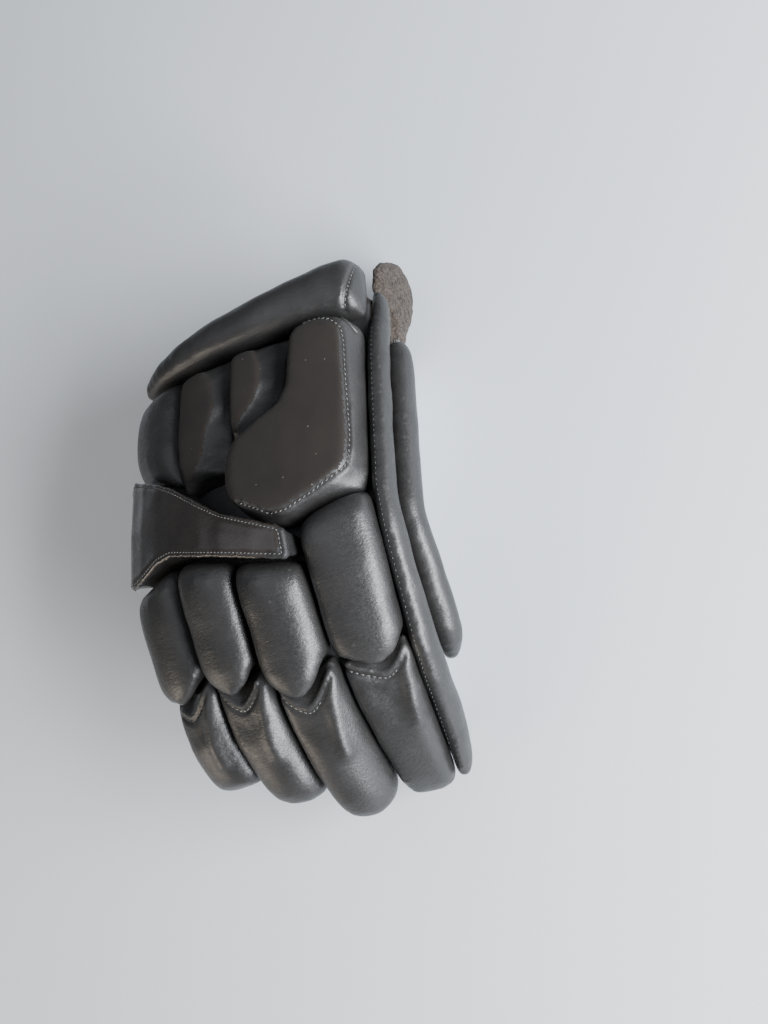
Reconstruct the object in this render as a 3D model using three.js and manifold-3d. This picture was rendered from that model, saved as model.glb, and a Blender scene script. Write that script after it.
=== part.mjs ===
// A cricket batting glove for the left hand, lying palm down with its fingers softly curled.
// Millimetres, +Z up. The fingers point along -Y, the thumb is on the -X side and the wrist opens along +Y.
import * as THREE from "three";
import { mergeVertices } from "three/addons/utils/BufferGeometryUtils.js";
import Module from "manifold-3d";

const wasm = await Module();
wasm.setup();

// Driving sizes of the hand
const ARCH_RADIUS = 150;
const PROXIMAL_LENGTH = 54;
const DISTAL_LENGTH = 51;
const BEND_LENGTH = 26;
const BACK_LENGTH = 84;
const CUFF_WIDTH = 20;
const HAND_WIDTH = 104;
const HAND_HEIGHT = 44;
const FINGER_WIDTH = 26;
const FINGER_HEIGHT = 22;
const THUMB_LENGTH = 88;
const THUMB_WIDTH = 29;
const THUMB_HEIGHT = 25;

// The rolls lie side by side over the hand's width
const ROLL_PITCH = 0.2827 * HAND_WIDTH;

// Driving thicknesses
const PAD_HEIGHT = 15;
const THUMB_PAD_HEIGHT = 12;
const COVER_LIP = 1.6;
const LEATHER = 2;
const TOWELLING = 3;
const TAB_THICKNESS = 4;
const TAB_LENGTH = 43;
const TAB_WIDTH = 26;
const STRIP_WIDTH = 8;
const BAR_RADIUS = 6.5;
const GUSSET_WIDTH = 9;
const CLEARANCE = 0.3;
const SEAM = 0.5;
const NEST_GAP = 2;
const SHELL_GAP = 0.7;
const ROUNDED_EDGE = 1;

// How far the lowest part is pressed flat where the glove rests, and how much less the wrist is
const FLATTENED = 1.5;
const WRIST_LIFT = 0.4;

// Each finger, from the forefinger out: its line as a share of the roll pitch, its knuckle and bones as shares
// of the roll lengths, and its angles in degrees.
const FINGERS = [
  { name: "index", line: -1.53, knuckle: 0.13, proximal: 0.97, distal: 0.77, pitch: 20.9, bend: 19.1, splay: -4.5 },
  { name: "middle", line: -0.5, knuckle: 0, proximal: 0.93, distal: 0.98, pitch: 25.0, bend: 20.7, splay: -2.2 },
  { name: "ring", line: 0.5, knuckle: -0.065, proximal: 1.01, distal: 1.15, pitch: 27.8, bend: 26.2, splay: 1.0 },
  { name: "little", line: 1.46, knuckle: 0.05, proximal: 1.0, distal: 1.3, pitch: 29.3, bend: 31.0, splay: 6.9 },
].map((row) => ({
  name: row.name,
  line: row.line * ROLL_PITCH,
  knuckle: row.knuckle * PROXIMAL_LENGTH,
  proximal: row.proximal * PROXIMAL_LENGTH,
  distal: row.distal * DISTAL_LENGTH,
  pitch: THREE.MathUtils.degToRad(row.pitch),
  bend: THREE.MathUtils.degToRad(row.bend),
  splay: THREE.MathUtils.degToRad(row.splay),
}));

const THUMB = {
  root: new THREE.Vector3(-0.42 * HAND_WIDTH, 0.8 * BACK_LENGTH, -PAD_HEIGHT - 0.73 * HAND_HEIGHT),
  yaw: THREE.MathUtils.degToRad(13),
  dive: THREE.MathUtils.degToRad(20),
  turn: THREE.MathUtils.degToRad(48),
  knuckle: 0.55 * THUMB_LENGTH,
  bend: THREE.MathUtils.degToRad(14),
};

const leather = new THREE.MeshStandardMaterial({ name: "black_leather", color: 0x2a2926, roughness: 0.5 });
const suede = new THREE.MeshStandardMaterial({ name: "matte_leather", color: 0x24211e, roughness: 0.85 });
const gloss = new THREE.MeshStandardMaterial({ name: "glossy_leather", color: 0x1b1917, roughness: 0.3 });
const base = new THREE.MeshStandardMaterial({ name: "base_leather", color: 0x161514, roughness: 0.7 });
const mesh = new THREE.MeshStandardMaterial({ name: "spacer_mesh", color: 0x1c1b1a, roughness: 0.9 });
const white = new THREE.MeshStandardMaterial({ name: "white_leather", color: 0xc9cbd2, roughness: 0.6 });
const towel = new THREE.MeshStandardMaterial({ name: "towelling", color: 0x3b332d, roughness: 1 });

const vector = (x, y, z) => new THREE.Vector3(x, y, z);
const mix = THREE.MathUtils.lerp;

// The finger values at any place across the hand, eased from each finger's line to the next.
function fingerAt(across) {
  const last = FINGERS.length - 1;
  if (across <= FINGERS[0].line) return FINGERS[0];
  if (across >= FINGERS[last].line) return FINGERS[last];
  const index = FINGERS.findIndex((finger) => finger.line > across) - 1;
  const [here, next] = [FINGERS[index], FINGERS[index + 1]];
  const share = THREE.MathUtils.smoothstep(across, here.line, next.line);
  const eased = {};
  for (const key of ["knuckle", "proximal", "distal", "pitch", "bend", "splay"]) {
    eased[key] = mix(here[key], next[key], share);
  }
  return eased;
}

// How far forward and down a bending line has come, and how steeply it then points down.
function bendingLine(stretches, along) {
  const line = { forward: 0, drop: 0, pitch: 0 };
  let left = along;
  for (const [length, turn] of stretches) {
    const run = Math.min(left, length);
    const turned = turn * (run / length);
    if (turned === 0) {
      line.forward += run * Math.cos(line.pitch);
      line.drop += run * Math.sin(line.pitch);
    } else {
      const radius = run / turned;
      line.forward += radius * (Math.sin(line.pitch + turned) - Math.sin(line.pitch));
      line.drop += radius * (Math.cos(line.pitch) - Math.cos(line.pitch + turned));
      line.pitch += turned;
    }
    left -= run;
    if (left <= 0) break;
  }
  return line;
}

// A point over the hand and the fingers: across the hand along its arch, along from the knuckles towards the
// tips, and height above the crown of the rolls.
function handPoint(across, along, height) {
  const finger = fingerAt(across);
  const angle = across / ARCH_RADIUS;
  const side = vector(Math.cos(angle), 0, -Math.sin(angle));
  const up = vector(Math.sin(angle), 0, Math.cos(angle));
  const start = vector(ARCH_RADIUS * up.x, finger.knuckle, ARCH_RADIUS * (up.z - 1));
  if (along <= -BEND_LENGTH / 2) return start.add(vector(0, -along, 0)).addScaledVector(up, height);
  const line = bendingLine([
    [BEND_LENGTH, finger.pitch],
    [finger.proximal - BEND_LENGTH, 0],
    [BEND_LENGTH, finger.bend],
    [Infinity, 0],
  ], along + BEND_LENGTH / 2);
  const forward = vector(0, -Math.cos(finger.splay), 0).addScaledVector(side, Math.sin(finger.splay));
  const normal = up.clone().multiplyScalar(Math.cos(line.pitch)).addScaledVector(forward, Math.sin(line.pitch));
  return start
    .add(vector(0, BEND_LENGTH / 2, 0))
    .addScaledVector(forward, line.forward)
    .addScaledVector(up, -line.drop)
    .addScaledVector(normal, height);
}

// The same surface, by the distance from the knuckle line towards the wrist.
const backPoint = (across, toWrist, height) => handPoint(across, fingerAt(across).knuckle - toWrist, height);

const thumbForward = vector(-Math.sin(THUMB.yaw), -Math.cos(THUMB.yaw), 0)
  .multiplyScalar(Math.cos(THUMB.dive))
  .add(vector(0, 0, -Math.sin(THUMB.dive)));
const thumbSide = vector(0, 0, 1)
  .cross(thumbForward)
  .normalize()
  .applyAxisAngle(thumbForward, THUMB.turn);
const thumbUp = thumbForward.clone().cross(thumbSide).normalize();

// A point about the thumb: across it, along from its root, and height above its middle line.
function thumbPoint(across, along, height) {
  const line = bendingLine([
    [THUMB.knuckle - BEND_LENGTH / 2, 0],
    [BEND_LENGTH, THUMB.bend],
    [Infinity, 0],
  ], Math.max(along, 1e-3));
  const back = Math.min(along, 0);
  const normal = thumbUp.clone().multiplyScalar(Math.cos(line.pitch))
    .addScaledVector(thumbForward, Math.sin(line.pitch));
  return THUMB.root.clone()
    .addScaledVector(thumbForward, line.forward + back)
    .addScaledVector(thumbUp, -line.drop)
    .addScaledVector(thumbSide, across)
    .addScaledVector(normal, height);
}

// A closed body through rings of points, its ends closed to their middles.
function loft(rings) {
  const count = rings[0].length;
  const middle = (ring) => ring.reduce((sum, point) => sum.add(point), vector(0, 0, 0)).divideScalar(count);
  const points = [...rings.flat(), middle(rings[0]), middle(rings[rings.length - 1])];
  const first = points.length - 2;
  const lastRing = (rings.length - 1) * count;
  const index = [];
  for (let j = 0; j < count; j += 1) {
    const next = (j + 1) % count;
    for (let start = 0; start < lastRing; start += count) {
      index.push(start + j, start + next, start + count + next);
      index.push(start + j, start + count + next, start + count + j);
    }
    index.push(first, next, j);
    index.push(first + 1, lastRing + j, lastRing + next);
  }
  return facingOut(points, index);
}

// An indexed geometry with its faces turned outwards.
function facingOut(points, index) {
  let volume = 0;
  for (let i = 0; i < index.length; i += 3) {
    const [a, b, c] = [points[index[i]], points[index[i + 1]], points[index[i + 2]]];
    volume += a.dot(b.clone().cross(c));
  }
  if (volume < 0) index.reverse();
  return new THREE.BufferGeometry().setFromPoints(points).setIndex(index);
}

// A geometry as a solid that can be joined and cut, and back.
function solidOf(geometry) {
  const merged = mergeVertices(geometry, 1e-4);
  return new wasm.Manifold(new wasm.Mesh({
    numProp: 3,
    vertProperties: new Float32Array(merged.attributes.position.array),
    triVerts: new Uint32Array(merged.index.array),
  }));
}

function geometryOf(solid) {
  const parts = solid.decompose();
  const largest = parts.reduce((best, part) => (part.volume() > best.volume() ? part : best));
  const { vertProperties, triVerts } = largest.getMesh();
  const geometry = new THREE.BufferGeometry();
  geometry.setAttribute("position", new THREE.BufferAttribute(new Float32Array(vertProperties), 3));
  geometry.setIndex(Array.from(triVerts));
  return geometry;
}

const joined = (solids) => solids.reduce((all, solid) => all.add(solid));

// The outline across a padded roll: a flat base, upright sides and a round crown.
const DOME_ANGLES = [12, 38, 64, 90, 116, 142, 168].map(THREE.MathUtils.degToRad);
function rollSection({ left, right, foot = -PAD_HEIGHT, crown = 0, shoulder = 0.42, wideFoot = false }, place) {
  const centre = (left + right) / 2;
  const half = (right - left) / 2;
  const spring = mix(foot, crown, shoulder);
  const outline = [[centre, foot]];
  if (wideFoot) outline.push([centre + half / 2, foot]);
  outline.push([right - ROUNDED_EDGE, foot], [right, foot + ROUNDED_EDGE]);
  for (const angle of DOME_ANGLES) {
    outline.push([
      centre + half * Math.sign(Math.cos(angle)) * Math.abs(Math.cos(angle)) ** 0.8,
      mix(spring, crown, Math.sin(angle) ** 0.8),
    ]);
  }
  outline.push([left, foot + ROUNDED_EDGE], [left + ROUNDED_EDGE, foot]);
  if (wideFoot) outline.push([centre - half / 2, foot]);
  return outline.map(([x, height]) => place(x, height));
}

// A rounded oval outline of a tube.
function ovalSection({ centre = 0, level, halfWidth, halfHeight, sides, square = 0.62 }, place) {
  return Array.from({ length: sides }, (unused, j) => {
    const angle = ((j + 0.5) / sides) * 2 * Math.PI;
    const [c, s] = [Math.cos(angle), Math.sin(angle)];
    return place(
      centre + halfWidth * Math.sign(c) * Math.abs(c) ** square,
      level + halfHeight * Math.sign(s) * Math.abs(s) ** square,
    );
  });
}

const glove = new THREE.Group();

function addPiece(name, geometry, material) {
  const piece = new THREE.Mesh(geometry, material);
  piece.name = name;
  glove.add(piece);
  return piece;
}

// A value read between the rows of a table that is sorted by its first column.
function between(rows, key, value, at) {
  const next = rows.findIndex((row) => row[key] > at);
  if (next === 0) return rows[0][value];
  if (next < 0) return rows[rows.length - 1][value];
  const [low, high] = [rows[next - 1], rows[next]];
  return mix(low[value], high[value], (at - low[key]) / (high[key] - low[key]));
}

// The cover over the knuckles, a block that narrows from the forefinger side to the ring finger. Its rows run
// across the hand, with both edges towards the wrist as shares of the back's length.
const COVER_ROWS = [
  { at: -2.2, upper: 0.56, lower: 0.1, top: -0.36 },
  { at: -2.12, upper: 0.59, lower: 0.06, top: -0.14 },
  { at: -1.95, upper: 0.6, lower: 0.04, top: -0.02 },
  { at: -1.6, upper: 0.545, lower: 0.045, top: 0.02 },
  { at: -1.2, upper: 0.48, lower: 0.075, top: 0.03 },
  { at: -0.9, upper: 0.42, lower: 0.075, top: 0.03 },
  { at: -0.3, upper: 0.27, lower: 0.01, top: 0.03 },
  { at: 0.0, upper: 0.2, lower: -0.02, top: 0.02 },
  { at: 0.02, upper: 0.195, lower: -0.022, top: 0.02 },
  { at: 0.5, upper: 0.12, lower: -0.07, top: 0.01 },
  { at: 0.84, upper: 0.065, lower: -0.1, top: 0 },
  { at: 0.92, upper: 0.045, lower: -0.1, top: -0.06 },
];
const coverEdge = (key, across) => between(COVER_ROWS, "at", key, across / ROLL_PITCH) * BACK_LENGTH;

// The lower edge of the outer panel's foot, above the little finger, as shares like the cover's.
const PANEL_EDGE = [
  { at: 1.0, lower: 0.09 },
  { at: 1.26, lower: 0.12 },
  { at: 1.9, lower: 0.19 },
  { at: 1.99, lower: 0.2 },
];

// Finger rolls: each finger has one over its first bone and one over the rest, nested end in collar
const OUTER_EDGE = 2.02 * ROLL_PITCH;
const LITTLE = FINGERS.length - 1;
const seams = [-2.17 * ROLL_PITCH];
for (let j = 1; j < FINGERS.length; j += 1) seams.push((FINGERS[j - 1].line + FINGERS[j].line) / 2);
seams.push(OUTER_EDGE);

// Rows from the knuckle on: place along as a share of the length, half width and crown as shares, and how far
// the row bows back at its edges as a share of the roll pitch.
const PROXIMAL_ROWS = [
  { along: 0.0, width: 0.9, crown: 0.5, bow: 0 },
  { along: 0.05, width: 0.97, crown: 0.82, bow: 0 },
  { along: 0.15, width: 1, crown: 0.97, bow: 0 },
  { along: 0.4, width: 1, crown: 1, bow: 0 },
  { along: 0.66, width: 1, crown: 1, bow: 0.05 },
  { along: 0.82, width: 1, crown: 0.99, bow: 0.14 },
  { along: 0.93, width: 0.995, crown: 0.95, bow: 0.28 },
  { along: 1.0, width: 0.985, crown: 0.86, bow: 0.4 },
  { along: 1.03, width: 0.97, crown: 0.7, bow: 0.44 },
];
const DISTAL_ROWS = [
  { along: 0.0, width: 0.97, crown: 0.56, bow: 0.44 },
  { along: 0.035, width: 0.985, crown: 0.63, bow: 0.43 },
  { along: 0.12, width: 1, crown: 0.7, bow: 0.36 },
  { along: 0.24, width: 1, crown: 0.85, bow: 0.24 },
  { along: 0.38, width: 1, crown: 0.97, bow: 0.1 },
  { along: 0.55, width: 1, crown: 1, bow: 0 },
  { along: 0.78, width: 0.99, crown: 0.98, bow: 0 },
  { along: 0.9, width: 0.93, crown: 0.88, bow: 0 },
  { along: 0.97, width: 0.78, crown: 0.68, bow: 0 },
  { along: 1.0, width: 0.55, crown: 0.42, bow: 0 },
];
// The outline across a finger roll. startAt gives where the roll begins along each line of it.
function rollRing(place, row, startAt, end) {
  const [left, right] = [seams[place] + SEAM / 2, seams[place + 1] - SEAM / 2];
  const [middle, half] = [(left + right) / 2, (right - left) / 2];
  return rollSection(
    { left: middle - half * row.width, right: middle + half * row.width, crown: PAD_HEIGHT * (row.crown - 1) },
    (x, height) => {
      const edge = (x - middle) / half;
      const bow = row.bow * ROLL_PITCH * Math.abs(edge) ** 1.7 * (1 + 0.18 * edge);
      return handPoint(x, mix(startAt(x), end, row.along) - bow, height);
    },
  );
}

FINGERS.forEach((finger, place) => {
  const above = (x) => (place === LITTLE
    ? between(PANEL_EDGE, "at", "lower", x / ROLL_PITCH) * BACK_LENGTH
    : coverEdge("lower", x));
  const start = (x) => fingerAt(x).knuckle - above(x) + 2 * CLEARANCE;
  addPiece(`${finger.name}_roll_proximal`, loft(PROXIMAL_ROWS.map(
    (row) => rollRing(place, row, start, finger.proximal),
  )), leather);
  const collar = () => finger.proximal * PROXIMAL_ROWS[PROXIMAL_ROWS.length - 1].along + NEST_GAP;
  addPiece(`${finger.name}_roll_distal`, loft(DISTAL_ROWS.map(
    (row) => rollRing(place, row, collar, finger.proximal + finger.distal),
  )), leather);
});

// Panels over the back of the hand. Each row gives the face's two edges and the foot's two edges across the
// hand as shares of the roll pitch, both places towards the wrist as shares of the back's length, and the
// face's height as a share of the pad height.
const A_ROLL = [
  { at: 0, left: -2.22, right: -1.01, crown: -0.4 },
  { at: 0.12, left: -2.25, right: -1.01, crown: -0.22 },
  { at: 0.3, left: -2.27, right: -1.01, crown: -0.14 },
  { at: 0.7, left: -2.26, right: -1.01, crown: -0.13 },
  { at: 0.93, left: -2.22, right: -1.01, crown: -0.2 },
  { at: 1, left: -2.18, right: -1.01, crown: -0.36 },
];
const MIDDLE_PANEL = [
  { at: 0.99, left: -0.84, right: -0.6, foot: 1.0, footLeft: -0.99, footRight: -0.02, face: -0.36 },
  { at: 0.97, left: -0.93, right: -0.42, foot: 0.97, footLeft: -0.99, footRight: -0.02, face: -0.28 },
  { at: 0.9, left: -0.95, right: -0.28, foot: 0.9, footLeft: -0.99, footRight: -0.02, face: -0.24 },
  { at: 0.75, left: -0.95, right: -0.2, foot: 0.75, footLeft: -0.99, footRight: -0.02, face: -0.22 },
  { at: 0.66, left: -0.95, right: -0.33, foot: 0.66, footLeft: -0.99, footRight: -0.02, face: -0.22 },
  { at: 0.54, left: -0.95, right: -0.42, foot: 0.54, footLeft: -0.99, footRight: -0.02, face: -0.26 },
  { at: 0.48, left: -0.9, right: -0.55, foot: 0.42, footLeft: -0.99, footRight: -0.02, face: -0.34 },
];
const RING_PANEL = [
  { at: 0.98, left: 0.1, right: 0.36, foot: 1.0, footLeft: 0.01, footRight: 1.0, face: -0.36 },
  { at: 0.96, left: 0.06, right: 0.46, foot: 0.96, footLeft: 0.01, footRight: 0.98, face: -0.28 },
  { at: 0.89, left: 0.06, right: 0.55, foot: 0.88, footLeft: 0.01, footRight: 0.9, face: -0.24 },
  { at: 0.78, left: 0.06, right: 0.58, foot: 0.78, footLeft: 0.01, footRight: 0.88, face: -0.22 },
  { at: 0.72, left: 0.06, right: 0.5, foot: 0.7, footLeft: 0.01, footRight: 0.84, face: -0.24 },
  { at: 0.66, left: 0.06, right: 0.3, foot: 0.62, footLeft: 0.01, footRight: 0.5, face: -0.27 },
  { at: 0.61, left: 0.06, right: 0.14, foot: 0.55, footLeft: 0.01, footRight: 0.14, face: -0.34 },
];
const OUTER_PANEL = [
  { at: 1.01, left: 1.3, right: 1.55, foot: 1.02, footLeft: 1.24, footRight: 1.7, face: -0.1 },
  { at: 0.99, left: 1.16, right: 1.72, foot: 0.99, footLeft: 1.08, footRight: 1.9, face: -0.03 },
  { at: 0.95, left: 1.06, right: 1.81, foot: 0.95, footLeft: 0.98, footRight: 1.98, face: 0 },
  { at: 0.84, left: 1.02, right: 1.83, foot: 0.84, footLeft: 0.94, footRight: 2.0, face: 0 },
  { at: 0.71, left: 1.0, right: 1.84, foot: 0.72, footLeft: 0.92, footRight: 2.0, face: 0 },
  { at: 0.63, left: 0.88, right: 1.85, foot: 0.66, footLeft: 0.82, footRight: 2.0, face: 0 },
  { at: 0.57, left: 0.52, right: 1.86, foot: 0.6, footLeft: 0.46, footRight: 2.0, face: 0 },
  { at: 0.51, left: 0.18, right: 1.87, foot: 0.53, footLeft: 0.1, footRight: 2.0, face: 0 },
  { at: 0.44, left: 0.07, right: 1.87, foot: 0.45, footLeft: 0.03, footRight: 2.0, face: 0 },
  { at: 0.32, left: 0.07, right: 1.87, foot: 0.33, footLeft: 0.03, footRight: 2.0, face: 0 },
  { at: 0.25, left: 0.14, right: 1.8, foot: 0.25, footLeft: 0.08, footRight: 1.99, face: 0 },
  { at: 0.2, left: 0.28, right: 1.6, foot: 0.19, footLeft: 0.22, footRight: 1.9, face: -0.01 },
  { at: 0.14, left: 0.6, right: 1.2, foot: 0.12, footLeft: 0.56, footRight: 1.26, face: -0.04 },
  { at: 0.105, left: 0.86, right: 0.98, foot: 0.09, footLeft: 0.84, footRight: 1.0, face: -0.08 },
];

const FACE_STEPS = [0, 0.08, 0.3, 0.5, 0.7, 0.92, 1];
const FACE_DROPS = [0.1, 0.01, 0, 0, 0, 0.01, 0.1];

// The outline across a panel with a flat face and slanted walls.
function panelRing(row) {
  const ring = [0, 0.5, 1].map((share) => backPoint(
    mix(row.footLeft, row.footRight, share) * ROLL_PITCH,
    row.foot * BACK_LENGTH,
    -PAD_HEIGHT,
  ));
  ring.push(backPoint(row.footRight * ROLL_PITCH, row.foot * BACK_LENGTH, mix(-PAD_HEIGHT, 0, 0.38)));
  [...FACE_STEPS].reverse().forEach((share, j) => ring.push(backPoint(
    mix(row.left, row.right, share) * ROLL_PITCH,
    row.at * BACK_LENGTH,
    (row.face - FACE_DROPS[j]) * PAD_HEIGHT,
  )));
  ring.push(backPoint(row.footLeft * ROLL_PITCH, row.foot * BACK_LENGTH, mix(-PAD_HEIGHT, 0, 0.38)));
  return ring;
}

const COVER_CORNER = -1.95 * ROLL_PITCH;
const rollStart = (x) => coverEdge("upper", Math.max(x, COVER_CORNER)) + 4 * CLEARANCE;
addPiece("back_roll_index", loft(A_ROLL.map((row) => rollSection(
  { left: row.left * ROLL_PITCH, right: row.right * ROLL_PITCH, crown: row.crown * PAD_HEIGHT, wideFoot: true },
  (x, height) => backPoint(x, mix(rollStart(x), BACK_LENGTH * 1.02, row.at), height),
))), leather);
addPiece("back_panel_middle", loft(MIDDLE_PANEL.map(panelRing)), leather);
addPiece("back_panel_ring", loft(RING_PANEL.map(panelRing)), leather);
addPiece("back_panel_outer", loft(OUTER_PANEL.map(panelRing)), suede);

// The cover over the knuckles
addPiece("knuckle_cover", loft(COVER_ROWS.map((row) => {
  const [upper, lower] = [row.upper * BACK_LENGTH, row.lower * BACK_LENGTH];
  const top = row.top * PAD_HEIGHT;
  const outline = [[lower + COVER_LIP, -PAD_HEIGHT], [upper - COVER_LIP, -PAD_HEIGHT]];
  outline.push([upper - COVER_LIP, top - 2 * COVER_LIP], [upper, top - COVER_LIP], [upper - COVER_LIP, top]);
  outline.push([upper - 3 * COVER_LIP, top - 0.4 * COVER_LIP], [mix(lower, upper, 0.5), top - 0.3 * COVER_LIP]);
  outline.push([lower + 3 * COVER_LIP, top - 0.4 * COVER_LIP]);
  outline.push([lower + COVER_LIP, top], [lower, top - COVER_LIP], [lower + COVER_LIP, top - 2 * COVER_LIP]);
  return outline.map(([toWrist, height]) => backPoint(row.at * ROLL_PITCH, toWrist, height));
})), gloss);

// The cuff: a roll across the wrist end of the back, cut off at a slant at its outer end. Its rows run across
// the hand, with its lower edge from the end of the back and its width as shares of the cuff's width.
const CUFF_ROWS = [
  { at: -2.2, low: 0.3, width: 0.16, crown: -0.66 },
  { at: -2.1, low: 0.24, width: 0.26, crown: -0.42 },
  { at: -1.9, low: 0.18, width: 0.38, crown: -0.24 },
  { at: -1.45, low: 0.13, width: 0.52, crown: -0.1 },
  { at: -0.9, low: 0.09, width: 0.65, crown: -0.03 },
  { at: -0.2, low: 0.06, width: 0.77, crown: 0 },
  { at: 0.5, low: 0.05, width: 0.87, crown: 0.02 },
  { at: 1.0, low: 0.05, width: 0.97, crown: 0.04 },
  { at: 1.5, low: 0.1, width: 1.08, crown: 0.05 },
  { at: 1.84, low: 0.1, width: 1.14, crown: 0.02 },
  { at: 1.98, low: 0.08, width: 1.08, crown: -0.28 },
  { at: 2.04, low: 0.1, width: 1.0, crown: -0.55 },
];
addPiece("cuff_roll", loft(CUFF_ROWS.map((row) => {
  const low = BACK_LENGTH * 1.02 + row.low * CUFF_WIDTH;
  return rollSection(
    { left: low, right: low + row.width * CUFF_WIDTH, crown: row.crown * PAD_HEIGHT, shoulder: 0.5 },
    (toWrist, height) => backPoint(row.at * ROLL_PITCH, toWrist, height),
  );
})), leather);

// The outer side: a padded strip from cuff to fingertip, and a bar below it. Their rows run along the hand, as
// shares of the back's length before the knuckles and of the little finger's length after them. Outward shift
// and level are shares of the strip's width.
const LITTLE_END = FINGERS[LITTLE].proximal + FINGERS[LITTLE].distal;
const sidePlace = (along) => (along < 0 ? along * BACK_LENGTH : along * LITTLE_END);
const STRIP_ROWS = [
  { along: -1.17, size: 0.5, out: 0.25, level: -2.05 },
  { along: -1.12, size: 0.8, out: 0.2, level: -2.0 },
  { along: -1.02, size: 0.95, out: 0.12, level: -1.85 },
  { along: -0.9, size: 1, out: 0.03, level: -1.4 },
  { along: -0.7, size: 1, out: 0, level: -1.1 },
  { along: -0.4, size: 1, out: 0, level: -1.05 },
  { along: -0.15, size: 1, out: 0, level: -1.03 },
  { along: 0.0, size: 1.03, out: 0, level: -1.0 },
  { along: 0.12, size: 1.1, out: 0, level: -0.97 },
  { along: 0.26, size: 1.2, out: 0, level: -0.95 },
  { along: 0.42, size: 1.36, out: 0, level: -1.0 },
  { along: 0.54, size: 1.5, out: 0, level: -1.1 },
  { along: 0.68, size: 1.62, out: 0.04, level: -1.15 },
  { along: 0.82, size: 1.75, out: 0.08, level: -1.15 },
  { along: 0.9, size: 1.7, out: 0.1, level: -1.1 },
  { along: 0.955, size: 1.35, out: 0.15, level: -1.15 },
  { along: 0.975, size: 0.8, out: 0.25, level: -1.3 },
];
const STRIP_OUTLINE = [
  [0, 0], [0.35, 0.28], [0.75, 0.18], [1.05, -0.2], [1.1, -0.55], [0.95, -0.8], [0.5, -0.95], [0.02, -0.9],
];
addPiece("side_strip", loft(STRIP_ROWS.map((row) => STRIP_OUTLINE.map(([out, up]) => handPoint(
  OUTER_EDGE + (row.out + out * row.size) * STRIP_WIDTH,
  sidePlace(row.along),
  (row.level + up * row.size) * STRIP_WIDTH,
)))), leather);

const BAR_ROWS = [
  { along: -0.93, width: 0.55, height: 0.5, out: 1.3, level: -3.0 },
  { along: -0.9, width: 0.9, height: 0.85, out: 1.32, level: -3.02 },
  { along: -0.8, width: 1, height: 1, out: 1.35, level: -3.05 },
  { along: -0.4, width: 1, height: 1, out: 1.35, level: -3.05 },
  { along: -0.1, width: 1, height: 1, out: 1.4, level: -3.05 },
  { along: 0.06, width: 1, height: 1, out: 1.5, level: -3.1 },
  { along: 0.18, width: 1.1, height: 1, out: 1.65, level: -3.2 },
  { along: 0.3, width: 1.25, height: 1, out: 1.85, level: -3.35 },
  { along: 0.42, width: 1.35, height: 1, out: 2.0, level: -3.5 },
  { along: 0.52, width: 1.3, height: 0.95, out: 2.05, level: -3.65 },
  { along: 0.6, width: 1, height: 0.75, out: 2.0, level: -3.75 },
  { along: 0.65, width: 0.5, height: 0.35, out: 1.95, level: -3.8 },
];
addPiece("side_bar", loft(BAR_ROWS.map((row) => ovalSection(
  {
    centre: OUTER_EDGE + row.out * STRIP_WIDTH,
    level: row.level * STRIP_WIDTH,
    halfWidth: BAR_RADIUS * row.width,
    halfHeight: BAR_RADIUS * row.height,
    sides: 10,
    square: 0.9,
  },
  (x, height) => handPoint(x, sidePlace(row.along), height),
))), leather);

// The shell under the pads: a hand, four finger stalls and a thumb stall, all hollow and open at the wrist
const HAND_TOP = -PAD_HEIGHT - SHELL_GAP;
const HAND_ROWS = [
  { at: 1.3, width: 0.98, height: 1.14, top: 0 },
  { at: 1.02, width: 0.98, height: 1.14, top: 0 },
  { at: 0.7, width: 0.99, height: 1.08, top: 0 },
  { at: 0.4, width: 0.99, height: 0.94, top: 0 },
  { at: 0.16, width: 0.99, height: 0.8, top: -0.01 },
  { at: 0.0, width: 0.98, height: 0.68, top: -0.06 },
  { at: -0.1, width: 0.93, height: 0.5, top: -0.14 },
];
function handShell(inset, rows) {
  const place = (toWrist) => (x, z) => vector(x, toWrist, z);
  return loft(rows.map((row) => {
    const height = HAND_HEIGHT * row.height;
    const top = HAND_TOP + HAND_HEIGHT * row.top;
    const ring = ovalSection({
      centre: -0.02 * HAND_WIDTH,
      level: top - height / 2,
      halfWidth: (HAND_WIDTH * row.width) / 2 - inset,
      halfHeight: height / 2 - inset,
      sides: 24,
    }, place(row.at * BACK_LENGTH + (row.at < 0 ? inset : 0)));
    ring.forEach((point) => {
      const upper = THREE.MathUtils.clamp((point.z - (top - height)) / height, 0, 1);
      point.z -= (upper * point.x ** 2) / (2 * (ARCH_RADIUS + HAND_TOP));
    });
    return ring;
  }));
}

const STALL_ROWS = [
  { along: -0.14, size: 0.8 },
  { along: 0.0, size: 0.94 },
  { along: 0.13, size: 1 },
  { along: 0.38, size: 1 },
  { along: 0.55, size: 1 },
  { along: 0.68, size: 1 },
  { along: 0.86, size: 0.96 },
  { along: 0.94, size: 0.8 },
  { along: 0.975, size: 0.5 },
];
function fingerStall(finger, inset) {
  const length = finger.proximal + finger.distal;
  return loft(STALL_ROWS.map((row) => ovalSection({
    centre: finger.line,
    level: HAND_TOP - FINGER_HEIGHT / 2,
    halfWidth: (FINGER_WIDTH / 2 - inset) * row.size,
    halfHeight: (FINGER_HEIGHT / 2 - inset) * row.size,
    sides: 12,
  }, (x, height) => handPoint(x, row.along * length - inset * Math.sign(row.along - 0.5), height))));
}

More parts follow.
